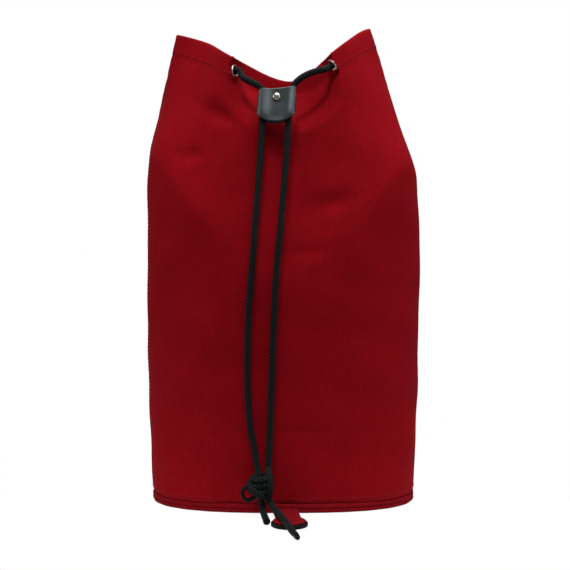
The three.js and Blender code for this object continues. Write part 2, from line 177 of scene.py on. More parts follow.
# The laced length: from the slider to the first eyelet, round the mouth and back. LACING,
# BACK_RUN and BACK_CENTRE hold a turn, how far out from the wall, and how far below the mouth.
LACING_START = [
    (-0.0210, -0.0602, 0.4156),
    (-0.0205, -0.0585, 0.4236),
    (-0.0203, -0.0568, 0.4290),
    (-0.0242, -0.0550, 0.4342),
    (-0.0308, -0.0546, 0.4378),
    (-0.0363, -0.0543, 0.4404),
    (-0.0412, -0.0516, 0.4434),
]
LACING_FINISH = [
    (0.0415, -0.0540, 0.4512),
    (0.0335, -0.0550, 0.4494),
    (0.0250, -0.0553, 0.4464),
    (0.0174, -0.0553, 0.4420),
    (0.0114, -0.0556, 0.4362),
    (0.0083, -0.0573, 0.4286),
    (0.0078, -0.0586, 0.4226),
    (0.0074, -0.0602, 0.4156),
]
LACING = [
    (-0.26, -0.0145, 0.0160),
    (-0.33, -0.0120, 0.0220),
    (-0.42, -0.0160, 0.0270),
    (-0.52, -0.0240, 0.0270),
    (-0.585, -0.0140, 0.0185),
]
BACK_RUN = [
    (-0.66, 0.0105, 0.0140),
    (-0.745, 0.0080, 0.0150),
    (-0.83, 0.0110, 0.0140),
]
BACK_CENTRE = [
    (-0.915, -0.0125, 0.0150),
    (1, -0.0110, 0.0150),
    (0.915, -0.0125, 0.0150),
]

CAMERA_PLACE = (0.0018, -1.9, 0.421)
CAMERA_PITCH = 5.85  # degrees below the horizon
CAMERA_LENS = 114.4


# ------------------------------------------------------------------ camera, light and floor
def add_camera():
    data = bpy.data.cameras.new("camera")
    data.lens = CAMERA_LENS
    data.sensor_width = 36
    camera = bpy.data.objects.new("camera", data)
    camera.location = CAMERA_PLACE
    camera.rotation_euler = (math.radians(90 - CAMERA_PITCH), 0, 0)
    bpy.context.scene.collection.objects.link(camera)
    bpy.context.scene.camera = camera


def add_light(name, kind, place, target, energy, size=0.0):
    data = bpy.data.lights.new(name, kind)
    data.energy = energy
    if kind == "SUN":
        data.angle = size
    else:
        data.shape = "SQUARE"
        data.size = size
    light = bpy.data.objects.new(name, data)
    light.location = place
    direction = Vector(target) - Vector(place)
    light.rotation_euler = direction.to_track_quat("-Z", "Y").to_euler()
    bpy.context.scene.collection.objects.link(light)


def add_lights():
    add_light("key", "SUN", (-0.22, -0.60, 2.2), (0, 0, 0.1), 1.9, math.radians(9))
    add_light("overhead", "AREA", (0.45, -0.30, 2.4), (0, 0, 0.30), 76, 2.0)
    add_light("left_fill", "AREA", (-1.9, -0.40, 0.6), (0, 0, 0.25), 13, 1.2)
    add_light("right_fill", "AREA", (1.9, -0.25, 0.7), (0, 0, 0.28), 10, 1.2)
    add_light("back_fill", "AREA", (-0.6, 2.2, 1.6), (0, 0, 0.25), 16, 1.4)


def set_world():
    """A soft even sky that shows as plain white behind the object."""
    world = bpy.data.worlds.new("studio")
    bpy.context.scene.world = world
    world.use_nodes = True
    tree = world.node_tree
    background = tree.nodes["Background"]
    path = tree.nodes.new("ShaderNodeLightPath")
    strength = tree.nodes.new("ShaderNodeMapRange")
    strength.inputs["To Min"].default_value = 0.20
    strength.inputs["To Max"].default_value = 1.0
    tree.links.new(path.outputs["Is Camera Ray"], strength.inputs["Value"])
    tree.links.new(strength.outputs["Result"], background.inputs["Strength"])
    background.inputs["Color"].default_value = (1, 1, 1, 1)
    bpy.context.scene.view_settings.view_transform = "Standard"


# ------------------------------------------------------------------ the bag's surface
def mix(a, b, t):
    return a + (b - a) * t


def smooth_step(low, high, value):
    t = np.clip((value - low) / (high - low), 0, 1)
    return t * t * (3 - 2 * t)


def unit(v):
    return v / np.linalg.norm(v, axis=-1, keepdims=True)


def mouth(turn):
    """x, y, z and shoulder at any turn, on a smooth closed curve through the twelve places."""
    place = np.mod(turn, 2) * len(MOUTH) / 2
    i = np.floor(place).astype(int)
    u = (place - i)[..., None]
    a, b, c, d = (MOUTH[(i + k) % len(MOUTH)] for k in (-1, 0, 1, 2))
    return b + 0.5 * u * (c - a + u * (2 * a - 5 * b + 4 * c - d + u * (3 * (b - c) + d - a)))


def outline(turn, height, inset=0.0):
    """The upright lower part: a round-cornered outline that swells a little half way up."""
    angle = math.pi * turn + 0.13 * np.sin(2 * math.pi * turn)
    swell = np.sin(math.pi * np.clip(height / BULGE_TOP, 0, 1))
    half_width = BASE_HALF_WIDTH + BULGE_WIDTH * swell - inset
    half_depth = BASE_HALF_DEPTH + BULGE_DEPTH * swell - inset
    power = BASE_POWER + BULGE_POWER * swell
    across = np.abs(np.sin(angle) / half_width) ** power
    along = np.abs(np.cos(angle) / half_depth) ** power
    radius = (across + along) ** (-1 / power)
    height = np.broadcast_to(height, radius.shape)
    return np.stack([radius * np.sin(angle), -radius * np.cos(angle), height], -1)


def wall(turn, rise):
    """A point of the wall's outer face: rise is 0 at the seam and 1 at the mouth."""
    turn, rise = np.broadcast_arrays(np.asarray(turn, float), np.asarray(rise, float))
    edge = mouth(turn)
    height = mix(SEAM_HEIGHT, edge[..., 2], rise)
    shoulder = edge[..., 3]
    u = (height - shoulder) / (edge[..., 2] - shoulder)
    soft = SHOULDER_SOFTNESS
    lean = (u + np.hypot(u, soft)) / (1 + math.hypot(1, soft))
    point = mix(outline(turn, height), edge[..., :3], lean[..., None])
    point[..., 2] = height
    front = np.cos(math.pi * turn) > 0
    below = np.maximum(0, POCKET_TOP - height) / POCKET_DROP
    half_width = POCKET_HALF_WIDTH - POCKET_NARROWING * np.maximum(0, height - POCKET_TOP)
    inside = 1 - (point[..., 0] / half_width) ** 2 - below**2
    gentle = 1 - smooth_step(POCKET_SOFT_BOTTOM, POCKET_SOFT_TOP, height)
    steep = mix(POCKET_WALL, POCKET_SOFT_WALL, gentle)
    point[..., 1] += front * POCKET_DEPTH * smooth_step(-gentle * POCKET_SOFT_REACH, steep, inside)
    return point


def wall_normal(turn, rise):
    step = 0.004
    turn, rise = np.broadcast_arrays(np.asarray(turn, float), np.asarray(rise, float))
    high = np.minimum(1, rise + step)
    up = wall(turn, high) - wall(turn, high - 2 * step)
    along = wall(turn + step, rise) - wall(turn - step, rise)
    return unit(np.cross(along, up))


def rise_below_mouth(turn, depth):
    return 1 - depth / (mouth(np.asarray(turn, float))[..., 2] - SEAM_HEIGHT)


def wall_offset(turn, rise, out):
    return wall(turn, rise) + wall_normal(turn, rise) * np.asarray(out, float)[..., None]


# ------------------------------------------------------------------ eyelet frames
EYELET_SLACK = 0.0003  # between the cloth and the metal
EYELET_STANDS_OUT = 0.0008  # the most that a flange's underside stands off the smooth wall
FLANGE_ROUND = 0.0011
THROAT_ROUND = 0.0009


def eyelet_frame(turn):
    """Centre, outward normal, and how far the cloth stands out and in under the flanges."""
    rise = float(rise_below_mouth(turn, EYELET_DROP))
    centre = wall(turn, rise)
    normal = wall_normal(turn, rise)
    high = 0.0
    low = -0.0012
    for across in (-0.024, -0.012, 0, 0.012, 0.024):
        for up in (-0.014, 0, 0.014):
            outside = wall(turn + across, rise + up) - centre
            if np.linalg.norm(outside) > EYELET_FLANGE + 2 * EYELET_SLACK:
                continue
            high = max(high, outside @ normal)
            inside = wall_offset(turn + across, rise + up, -LINING_DEPTH) - centre
            low = min(low, inside @ normal)
    high = min(high + EYELET_SLACK, EYELET_STANDS_OUT)
    low = max(low - EYELET_SLACK, high - LINING_DEPTH - 2 * EYELET_SLACK)
    return {"centre": centre, "normal": normal, "high": high, "low": low}


def about_axis(point, eyelet):
    """How far a point is along an eyelet's axis, and its offset square to that axis."""
    offset = point - eyelet["centre"]
    axial = offset @ eyelet["normal"]
    return axial, offset - axial[..., None] * eyelet["normal"]


EYELETS = [eyelet_frame(turn) for turn in EYELET_TURNS]

# ------------------------------------------------------------------ how the cloth gives
# Shallow hollows of the front: x, z, half width, half height, tilt, depth.
HOLLOWS = [
    (-0.088, 0.428, 0.008, 0.026, -0.35, 0.0022),
    (-0.074, 0.420, 0.007, 0.026, -0.35, -0.0016),
    (-0.008, 0.392, 0.026, 0.022, 0.0, -0.0036),
    (-0.066, 0.407, 0.020, 0.009, -0.5, 0.0034),
    (-0.094, 0.365, 0.014, 0.008, 0.2, 0.0022),
    (0.050, 0.318, 0.021, 0.010, 0.25, 0.0030),
    (0.024, 0.268, 0.030, 0.008, 0.1, 0.0010),
    (0.026, 0.085, 0.034, 0.0035, 0.0, 0.0007),
    (-0.050, 0.150, 0.040, 0.014, 0.15, 0.0008),
    (0.075, 0.190, 0.030, 0.016, -0.2, 0.0009),
    (-0.088, 0.245, 0.022, 0.030, -0.4, 0.0012),
    (0.104, 0.262, 0.014, 0.028, 0.3, 0.0010),
]
# The same for the back.
BACK_HOLLOWS = [
    (-0.055, 0.372, 0.026, 0.010, 0.4, 0.0030),
    (0.060, 0.355, 0.024, 0.010, -0.35, 0.0032),
    (0.004, 0.290, 0.045, 0.012, 0.0, 0.0018),
    (-0.070, 0.130, 0.040, 0.016, 0.2, 0.0012),
    (0.055, 0.180, 0.036, 0.014, -0.15, 0.0012),
    (0.010, 0.070, 0.050, 0.007, 0.05, 0.0010),
]
# Long slow waves of the cloth: waves per metre across and up, phase, depth.
WAVES = [
    (7.0, 4.0, 0.4, 0.00034),
    (-11.0, 6.5, 1.9, 0.00028),
    (15.0, 9.0, 4.2, 0.00020),
    (5.0, 17.0, 2.6, 0.00022),
    (23.0, -13.0, 0.9, 0.00013),
]
TURN_LENGTH = 0.345  # length of cloth in one turn
SEAM_ROLL = 0.0036  # how far from a seam the cloth starts to roll in
SEAM_SINK = 0.0010
HEM_STITCHES = (FACING_DEPTH - 0.003, FACING_DEPTH - 0.0055)  # below the mouth


def side_distance(turn):
    """How far along the cloth the nearer side seam is."""
    return TURN_LENGTH * np.abs(np.mod(turn, 1) - 0.5)


def hollows(point, table):
    total = np.zeros(point.shape[:-1])
    for x, z, wide, tall, tilt, depth in table:
        dx = point[..., 0] - x
        dz = point[..., 2] - z
        along = (dx * math.cos(tilt) + dz * math.sin(tilt)) / wide
        up = (dz * math.cos(tilt) - dx * math.sin(tilt)) / tall
        total -= depth * np.exp(-(along**2 + up**2))
    return total


def puckers(distance, pitch, unevenness, rate, depth, fade):
    """Small gathers beside a seam; depth is how far they sink, and fade how far they reach."""
    wave = np.sin(2 * math.pi * distance / pitch + unevenness * np.sin(rate * distance))
    return depth * (wave - 1) * np.exp(-(fade**2))


def give(turn, point, below):
    """How far the cloth lies out from the smooth wall: waves, hollows, seams and hem."""
    across = turn * TURN_LENGTH
    height = point[..., 2]
    front = np.cos(math.pi * turn) > 0
    out = np.where(front, hollows(point, HOLLOWS), hollows(point, BACK_HOLLOWS))
    clear_of_cords = np.where(front, smooth_step(0.050, 0.075, np.abs(point[..., 0])), 1.0)
    for wide, tall, phase, depth in WAVES:
        wave = np.sin(2 * math.pi * (wide * across + tall * height) + phase)
        out += depth * mix(wave - 1, 1.2 * wave + 0.5, clear_of_cords)
    near_base = height - SEAM_HEIGHT
    near_side = side_distance(turn)
    hem_line = below - HEM_STITCHES[0]
    for near in (near_base, near_side):
        out -= SEAM_SINK * (1 - smooth_step(0, SEAM_ROLL, near))
    out += puckers(across, 0.013, 2.2, 31, 0.00022, near_base / 0.013)
    out += puckers(height, 0.012, 1.9, 37, 0.00010, near_side / 0.010)
    out += 0.0004 * (1 - smooth_step(-0.0012, 0.0012, hem_line))
    out -= 0.0003 * np.exp(-((hem_line / 0.0011) ** 2))
    out += puckers(across, 0.011, 2.5, 23, 0.00012, hem_line / 0.007)
    return out


def flatten_at_eyelets(point, out):
    """Presses the cloth flat between each eyelet's flange and washer."""
    depth = np.clip(-out / LINING_DEPTH, 0, 1)
    for eyelet in EYELETS:
        axial, radial = about_axis(point, eyelet)
        near = 1 - smooth_step(0.0076, 0.0140, np.linalg.norm(radial, axis=-1))
        near *= 1 - smooth_step(0.008, 0.014, axial)
        near *= smooth_step(-0.0075, -0.0045, axial)
        target = mix(eyelet["high"] - 0.0001, eyelet["low"] + 0.0001, depth)
        point = point + ((target - axial) * near)[..., None] * eyelet["normal"]
    return point


def cloth(turn, below, out):
    """A point of the finished cloth: turn, how far below the mouth, how far out."""
    turn, below, out = np.broadcast_arrays(*(np.asarray(v, float) for v in (turn, below, out)))
    rise = rise_below_mouth(turn, below)
    smooth_point = wall(turn, rise)
    lift = out + give(turn, smooth_point, below)
    point = smooth_point + wall_normal(turn, rise) * lift[..., None]
    return flatten_at_eyelets(point, out)


def wall_depth(turn):
    """From the mouth down to the base seam."""
    return mouth(np.asarray(turn, float))[..., 2] - SEAM_HEIGHT


# ------------------------------------------------------------------ mesh helpers
def grid_faces(rows, columns, ring=False, row_ring=False):
    r = np.arange(rows if row_ring else rows - 1)[:, None]
    c = np.arange(columns if ring else columns - 1)[None, :]
    up = (r + 1) % rows
    right = (c + 1) % columns
    corners = [r * columns + c, r * columns + right, up * columns + right, up * columns + c]
    return np.stack([np.broadcast_to(k, (r.size, c.size)) for k in corners], -1).reshape(-1, 4)


def add_mesh(name, points, faces, material, slot, body="bag", replaces=(), vectors=None):
    """A piece from its points and faces, riding on a body. vectors are named attributes."""
    mesh = bpy.data.meshes.new(name)
    points = np.asarray(points, float).reshape(-1, 3)
    mesh.from_pydata(points.tolist(), [], [list(face) for face in faces])
    mesh.polygons.foreach_set("use_smooth", [True] * len(mesh.polygons))
    for key, values in (vectors or {}).items():
        attribute = mesh.attributes.new(key, "FLOAT_VECTOR", "POINT")
        attribute.data.foreach_set("vector", np.asarray(values, np.float32).ravel())
    mesh.materials.append(material)
    piece = bpy.data.objects.new(name, mesh)
    bpy.context.scene.collection.objects.link(piece)
    make_normals_point_out(mesh)
    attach(piece, body)
    if replaces:
        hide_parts(*replaces)
    return piece


def make_normals_point_out(mesh):
    """Turns every face over if the closed mesh encloses a negative volume."""
    count = len(mesh.vertices)
    co = np.empty(count * 3)
    mesh.vertices.foreach_get("co", co)
    co = co.reshape(-1, 3)
    mesh.calc_loop_triangles()
    tri = np.empty(len(mesh.loop_triangles) * 3, int)
    mesh.loop_triangles.foreach_get("vertices", tri)
    a, b, c = co[tri.reshape(-1, 3)].transpose(1, 0, 2)
    if np.einsum("ij,ij->i", a, np.cross(b, c)).sum() < 0:
        mesh.flip_normals()
    mesh.update()


class Parts:
    """Collects several closed bodies for one mesh."""

    def __init__(self):
        self.points = []
        self.faces = []
        self.extra = []
        self.count = 0

    def add(self, points, faces, extra=None):
        points = np.asarray(points, float).reshape(-1, 3)
        if extra is None:
            extra = np.zeros_like(points)
        self.points.append(points)
        self.extra.append(np.asarray(extra, float).reshape(-1, 3))
        self.faces += [[i + self.count for i in face] for face in faces]
        self.count += len(points)

    def build(self, name, key, *args, **settings):
        points = np.concatenate(self.points)
        vectors = {key: np.concatenate(self.extra)}
        return add_mesh(name, points, self.faces, *args, vectors=vectors, **settings)


def end_caps(rows, columns):
    """Two many-sided faces that close the ends of a tube made of rings."""
    last = (rows - 1) * columns
    return [list(range(columns))[::-1], [last + k for k in range(columns)]]


def quarter(count, start=0.0):
    return np.linspace(start, math.pi / 2, count)


def lathe(profile, segments, closed_ring):
    """Points and faces of a profile of (radius, height) turned about +Z."""
    profile = np.asarray(profile, float)
    angle = 2 * math.pi * np.arange(segments) / segments
    radius = profile[:, 0][:, None]
    height = np.broadcast_to(profile[:, 1][:, None], (len(profile), segments))
    points = np.stack([radius * np.cos(angle), radius * np.sin(angle), height], -1).reshape(-1, 3)
    faces = grid_faces(len(profile), segments, ring=True, row_ring=closed_ring).tolist()
    if not closed_ring:
        faces += end_caps(len(profile), segments)
    return points, faces


def axes_from(normal):
    """Two directions across a normal, then the normal, as columns."""
    normal = np.asarray(normal, float)
    side = unit(np.cross(normal, (0.0, 0.0, 1.0)))
    return np.stack([side, np.cross(normal, side), normal], -1)


# ------------------------------------------------------------------ cord helpers
def spline(points, step):
    """A centripetal Catmull-Rom curve through given points, at even steps."""
    p = np.asarray(points, float)
    p = np.concatenate([[2 * p[0] - p[1]], p, [2 * p[-1] - p[-2]]])
    fine = []
    u = np.linspace(0, 1, 40, endpoint=False)[:, None]
    for a, b, c, d in zip(p, p[1:], p[2:], p[3:]):
        k0, k1, k2 = (math.sqrt(np.linalg.norm(q)) for q in (b - a, c - b, d - c))
        m1 = ((b - a) / k0 - (c - a) / (k0 + k1) + (c - b) / k1) * k1
        m2 = ((c - b) / k1 - (d - b) / (k1 + k2) + (d - c) / k2) * k1
        square = 3 * (c - b) - 2 * m1 - m2
        fine.append(b + u * m1 + u**2 * square + u**3 * (2 * (b - c) + m1 + m2))
    return even(np.concatenate(fine + [p[-2:-1]]), step)


def travelled(line):
    """How far along a line each of its points is."""
    steps = np.linalg.norm(np.diff(line, axis=0), axis=1)
    return np.concatenate([[0], np.cumsum(steps)])


def sampled(at, along, rows):
    return np.stack([np.interp(at, along, rows[:, k]) for k in range(3)], -1)


def even(line, step):
    """The same line with its points at even steps."""
    along = travelled(line)
    count = max(4, int(round(along[-1] / step)) + 1)
    return sampled(np.linspace(0, along[-1], count), along, line)


def line_length(line):
    return float(np.linalg.norm(np.diff(line, axis=0), axis=1).sum())


def carried_frames(line):
    """Side directions carried along a line without twist."""
    tangent = unit(np.gradient(line, axis=0))
    side = np.cross(tangent[0], (0.0, 1.0, 0.3))
    sides = []
    for t in tangent:
        side = side - t * (side @ t)
        side = side / np.linalg.norm(side)
        sides.append(side)
    sides = np.array(sides)
    return sides, np.cross(tangent, sides)


STRANDS = 6  # in each of the braid's two directions
LAY = 0.0235  # length of cord in which a strand goes once round
CORD_SIDES = 48
CORD_STEP = 0.0005
RELIEF = 0.16  # depth of the braid, as a share of the cord's diameter
PLAIN = ((0, 1), (1, 1))  # the same at both ends


def braid(along, angle):
    """Height from 0 to 1 of the braid's surface, the place across the strand on top, and
    which of the two directions that strand has."""
    a = STRANDS * (angle / (2 * math.pi) + along / LAY)
    b = STRANDS * (angle / (2 * math.pi) - along / LAY)
    i = np.round(a)
    j = np.round(b)
    crown_a = np.sqrt(np.maximum(0, 1 - (1.86 * (a - i)) ** 2))
    crown_b = np.sqrt(np.maximum(0, 1 - (1.86 * (b - j)) ** 2))
    top_a = crown_a + 0.75 * np.cos(math.pi * b) * (-1.0) ** i
    top_b = crown_b - 0.75 * np.cos(math.pi * a) * (-1.0) ** j
    height = np.clip((np.maximum(top_a, top_b) + 0.1) / 1.85, 0, 1)
    over = top_a > top_b
    return height, np.where(over, a - i, b - j), over.astype(float)


def cord_body(points, diameter, taper=PLAIN, relief=PLAIN):
    """A braided cord along given points. taper and relief are its thickness and the
    braid's depth at shares of its length."""
    line = spline(points, CORD_STEP)
    side, other = carried_frames(line)
    share = np.linspace(0, 1, len(line))
    along = share * line_length(line)
    angle = 2 * math.pi * np.arange(CORD_SIDES) / CORD_SIDES
    height, across, over = braid(along[:, None] * CORD / diameter, angle[None, :])
    raised = np.interp(share, *np.array(relief).T)[:, None]
    size = diameter / 2 * np.interp(share, *np.array(taper).T)
    radius = size[:, None] * (1 - 2 * RELIEF * raised * (1 - height))
    turned = angle[None, :, None]
    ring = np.cos(turned) * side[:, None] + np.sin(turned) * other[:, None]
    skin = line[:, None] + radius[..., None] * ring
    points = np.concatenate([skin.reshape(-1, 3), line[:1], line[-1:]])
    faces = grid_faces(len(line), CORD_SIDES, ring=True).tolist()
    first = len(line) * CORD_SIDES
    last = (len(line) - 1) * CORD_SIDES
    for k in range(CORD_SIDES):
        following = (k + 1) % CORD_SIDES
        faces.append([first, following, k])
        faces.append([first + 1, last + k, last + following])
    sealed = np.broadcast_to(1 - raised, height.shape)
    look = np.stack([across, over, np.where(sealed > 0.5, -1.0, height)], -1).reshape(-1, 3)
    return points, faces, np.concatenate([look, look[:1], look[-1:]]), line


def add_cord(name, points, diameter=CORD, taper=PLAIN, relief=PLAIN, replaces=()):
    skin, faces, look, line = cord_body(points, diameter, taper, relief)
    vectors = {"braid": look}
    piece = add_mesh(
        name, skin, faces, CORD_LOOK, "cord_black", replaces=replaces, vectors=vectors
    )
    return piece, line


# ------------------------------------------------------------------ materials
class Look:
    """A node material, with helpers that add nodes and mostly return their output sockets."""

    def __init__(self, name, roughness, metallic=0.0, **fixed):
        self.material = bpy.data.materials.new(name)
        self.material.use_nodes = True
        self.tree = self.material.node_tree
        self.shader = self.tree.nodes["Principled BSDF"]
        self.set("Roughness", roughness)
        self.set("Metallic", metallic)
        for key, value in fixed.items():
            self.set(key.replace("_", " "), value)

    def set(self, socket, value):
        self.put(self.shader.inputs[socket], value)

    def put(self, socket, value):
        if isinstance(value, bpy.types.NodeSocket):
            self.tree.links.new(value, socket)
        elif isinstance(value, tuple) and len(value) == 3 and len(socket.default_value) == 4:
            socket.default_value = (*value, 1)
        else:
            socket.default_value = value

    def node(self, kind, output=0, **inputs):
        """Adds a node. Lower-case names are its settings, and the others its input sockets."""
        made = self.tree.nodes.new("ShaderNode" + kind)
        for key, value in inputs.items():
            if key[0].islower():
                setattr(made, key, value)
        for key, value in inputs.items():
            if not key[0].islower():
                name = key.replace("_", " ")
                self.put(made.inputs[int(name[1:])] if name[1:].isdigit() else made.inputs[name], value)
        return made.outputs[output]

    def math(self, operation, a, b=0.0, c=0.0):
        return self.node("Math", operation=operation, I0=a, I1=b, I2=c)

    def vector(self, name):
        return self.node("Attribute", "Vector", attribute_name=name)

    def place(self):
        return self.node("TexCoord", "Object")

    def split(self, vector):
        made = self.tree.nodes.new("ShaderNodeSeparateXYZ")
        self.tree.links.new(vector, made.inputs[0])
        return made.outputs

    def scaled(self, vector, by):
        return self.node("VectorMath", operation="MULTIPLY", I0=vector, I1=by)

    def noise(self, vector, scale, detail=2.0, roughness=0.5):
        return self.node("TexNoise", Vector=vector, Scale=scale, Detail=detail, Roughness=roughness)

    def cells(self, vector, scale, **settings):
        return self.node("TexVoronoi", "Distance", Vector=vector, Scale=scale, **settings)

    def remap(self, value, low, high, to_low, to_high):
        ends = {"From_Min": low, "From_Max": high, "To_Min": to_low, "To_Max": to_high}
        return self.node("MapRange", Value=value, **ends)

    def blend(self, factor, a, b, kind="MIX"):
        made = self.tree.nodes.new("ShaderNodeMix")
        made.data_type = "RGBA"
        made.blend_type = kind
        for number, value in ((0, factor), (6, a), (7, b)):
            self.put(made.inputs[number], value)
        return made.outputs[2]

    def shade(self, colour, value):
        """A colour made darker or lighter by a value near 1."""
        grey = self.node("CombineColor", Red=value, Green=value, Blue=value)
        return self.blend(1.0, colour, grey, "MULTIPLY")

    def varied(self, value, *swings):
        """A value multiplied by others, each brought from one range to another."""
        for source, *limits in swings:
            value = self.math("MULTIPLY", value, self.remap(source, *limits))
        return value

    def bump(self, height, distance, strength):
        """Raises the surface by a height, which is the last step of a look."""
        self.set("Normal", self.node("Bump", Height=height, Distance=distance, Strength=strength))


CANVAS_RED = (0.215, 0.0014, 0.0052)
CANVAS_WORN = (0.330, 0.0120, 0.0180)
CANVAS_DEEP = (0.150, 0.0010, 0.0036)
TAB_COLOUR = (0.125, 0.0016, 0.0040)
TAB_WORN = (0.19, 0.006, 0.010)
TAB_DEEP = (0.09, 0.001, 0.003)
HEM_COLOUR = (0.190, 0.0013, 0.0048)
WELT_COLOUR = (0.135, 0.0010, 0.0036)
WELT_WORN = (0.20, 0.006, 0.010)
WELT_DEEP = (0.10, 0.0008, 0.0028)
THREAD_RED = (0.190, 0.0020, 0.0060)
YARN = 0.00105  # spacing of the canvas yarns


def weave_height(look, cloth_place):
    """A plain weave: warp and weft take turns on top, each yarn a little uneven."""
    waves = []
    for number, stretch in enumerate(((90.0, 900.0, 1.0), (900.0, 90.0, 1.0))):
        slub = look.noise(look.scaled(cloth_place, stretch), 1.0, 1.0)
        uneven = look.math("MULTIPLY_ADD", slub, 0.0007, look.split(cloth_place)[number])
        waves.append(look.math("SINE", look.math("MULTIPLY", uneven, math.pi / YARN)))
    over = look.math("MULTIPLY", *waves)
    yarns = []
    for wave, low, high in ((waves[0], 0.35, 1.0), (waves[1], 1.0, 0.35)):
        yarns.append(look.varied(look.math("ABSOLUTE", wave), (over, -0.6, 0.6, low, high)))
    return look.math("MAXIMUM", *yarns)


def canvas_material(name, colour, worn, deep):
    """Woven cotton canvas. "cloth" holds metres along and up the cloth, and wear."""
    look = Look(name, 0.88, Sheen_Weight=0.03, Sheen_Roughness=0.5, Specular_IOR_Level=0.04)
    look.set("Sheen Tint", (0.9, 0.06, 0.08))
    where = look.vector("cloth")
    wear = look.split(where)[2]
    flat = look.scaled(where, (1.0, 1.0, 0.0))
    height = weave_height(look, flat)
    streak_u = look.noise(look.scaled(flat, (70.0, 900.0, 1.0)), 1.0, 2.0)
    streak_v = look.noise(look.scaled(flat, (900.0, 70.0, 1.0)), 1.0, 2.0)
    mottle = look.noise(flat, 420.0, 3.0, 0.65)
    cloud = look.noise(flat, 14.0, 3.0, 0.6)
    value = look.varied(
        look.remap(height, 0.2, 1.0, 0.72, 1.12),
        (streak_u, 0.3, 0.7, 0.90, 1.10),
        (streak_v, 0.3, 0.7, 0.90, 1.10),
        (mottle, 0.3, 0.7, 0.84, 1.16),
        (cloud, 0.3, 0.7, 0.95, 1.05),
    )
    tone = look.blend(look.remap(cloud, 0.40, 0.75, 0.0, 0.35), colour, deep)
    rubbed = look.varied(wear, (mottle, 0.35, 0.65, 0.35, 1.0))
    tone = look.blend(rubbed, tone, worn)
    look.set("Base Color", look.shade(tone, value))
    look.set("Roughness", look.remap(mottle, 0.3, 0.7, 0.82, 0.95))
    fluff = look.noise(flat, 1500.0, 2.0, 0.6)
    surface = look.math("MULTIPLY_ADD", fluff, 0.35, height)
    look.bump(surface, 0.00030, 0.75)
    return look.material


def thread_material():
    look = Look("red_thread", 0.65, Specular_IOR_Level=0.15)
    where = look.place()
    twist = look.noise(look.scaled(where, (2600.0, 2600.0, 2600.0)), 1.0, 2.0)
    look.set("Base Color", look.shade(THREAD_RED, look.remap(twist, 0.3, 0.7, 0.7, 1.3)))
    look.bump(twist, 0.0002, 0.6)
    return look.material


def cord_material():
    """Black braided polyester. "braid" holds the place across a strand, the strand's
    direction, and the height of the braid, which is -1 where the end is melted."""
    look = Look("braided_cord", 0.5, Specular_IOR_Level=0.06)
    across, over, height = look.split(look.vector("braid"))
    yarns = look.math("SINE", look.math("MULTIPLY", across, 2 * math.pi * 5.0))
    fuzz = look.noise(look.place(), 1800.0, 2.0, 0.6)
    dust = look.noise(look.place(), 120.0, 2.0, 0.5)
    melted = look.math("LESS_THAN", height, -0.5)
    # painted highlight on the braid's crowns and painted shade in the gaps between strands
    value = look.varied(
        look.remap(height, 0.80, 1.0, 0.06, 4.4),
        (yarns, -1.0, 1.0, 0.75, 1.25),
        (over, 0.0, 1.0, 0.85, 1.15),
        (dust, 0.35, 0.65, 0.9, 1.15),
    )
    strand = look.shade((0.0060, 0.0076, 0.0074), value)
    look.set("Base Color", look.blend(melted, strand, (0.0022, 0.0025, 0.0027)))
    look.set("Roughness", look.remap(melted, 0.0, 1.0, 0.55, 0.30))
    surface = look.math("MULTIPLY_ADD", fuzz, 0.6, look.math("MULTIPLY", yarns, 0.4))
    look.bump(surface, 0.00018, 0.7)
    return look.material


def leather_material():
    """Dyed leather with fine grain. "edge" holds 1 at a cut edge, then the painted highlight over the
    cord ridges, then the painted shade on the sides that roll back.
    """
    look = Look("slider_leather", 0.4, Specular_IOR_Level=0.5)
    look.set("Coat Weight", 0.10)
    look.set("Coat Roughness", 0.32)
    edge, rubbed, rolled = look.split(look.vector("edge"))
    place = look.place()
    cells = look.cells(place, 1250.0, feature="DISTANCE_TO_EDGE")
    pores = look.remap(cells, 0.0, 0.22, 0.0, 1.0)
    cloud = look.noise(place, 95.0, 3.0, 0.6)
    scuff = look.noise(look.scaled(place, (160.0, 160.0, 700.0)), 1.0, 3.0, 0.7)
    value = look.varied(
        look.remap(cloud, 0.3, 0.7, 0.86, 1.14),
        (scuff, 0.45, 0.75, 1.0, 1.18),
        (pores, 0.0, 1.0, 0.86, 1.03),
    )
    tone = look.shade((0.020, 0.027, 0.031), value)
    # painted highlight: lighter bands over the two cord ridges
    painted_highlight = look.varied(rubbed, (cloud, 0.3, 0.7, 0.6, 1.0))
    tone = look.blend(painted_highlight, tone, (0.13, 0.155, 0.165))
    # painted shade: the sides that roll back are darkened
    tone = look.blend(look.math("MULTIPLY", rolled, 0.7), tone, (0.006, 0.008, 0.009))
    look.set("Base Color", look.blend(edge, tone, (0.010, 0.011, 0.012)))
    look.set("Roughness", look.remap(cloud, 0.3, 0.7, 0.30, 0.40))
    surface = look.math("MULTIPLY_ADD", cloud, 0.8, pores)
    look.bump(surface, 0.00010, 0.5)
    return look.material


def nickel_material():
    """Polished nickel with fine hairlines and a slight dulling."""
    look = Look("nickel", 0.24, 1.0)
    place = look.place()
    hairline = look.noise(look.scaled(place, (900.0, 900.0, 5200.0)), 1.0, 2.0)
    cloud = look.noise(place, 260.0, 3.0, 0.6)
    dulled = look.remap(cloud, 0.45, 0.75, 0.0, 0.6)
    tone = look.blend(dulled, (0.62, 0.59, 0.50), (0.34, 0.31, 0.25))
    look.set("Base Color", tone)
    look.set("Roughness", look.remap(hairline, 0.3, 0.7, 0.16, 0.34))
    look.bump(hairline, 0.00003, 0.35)
    return look.material


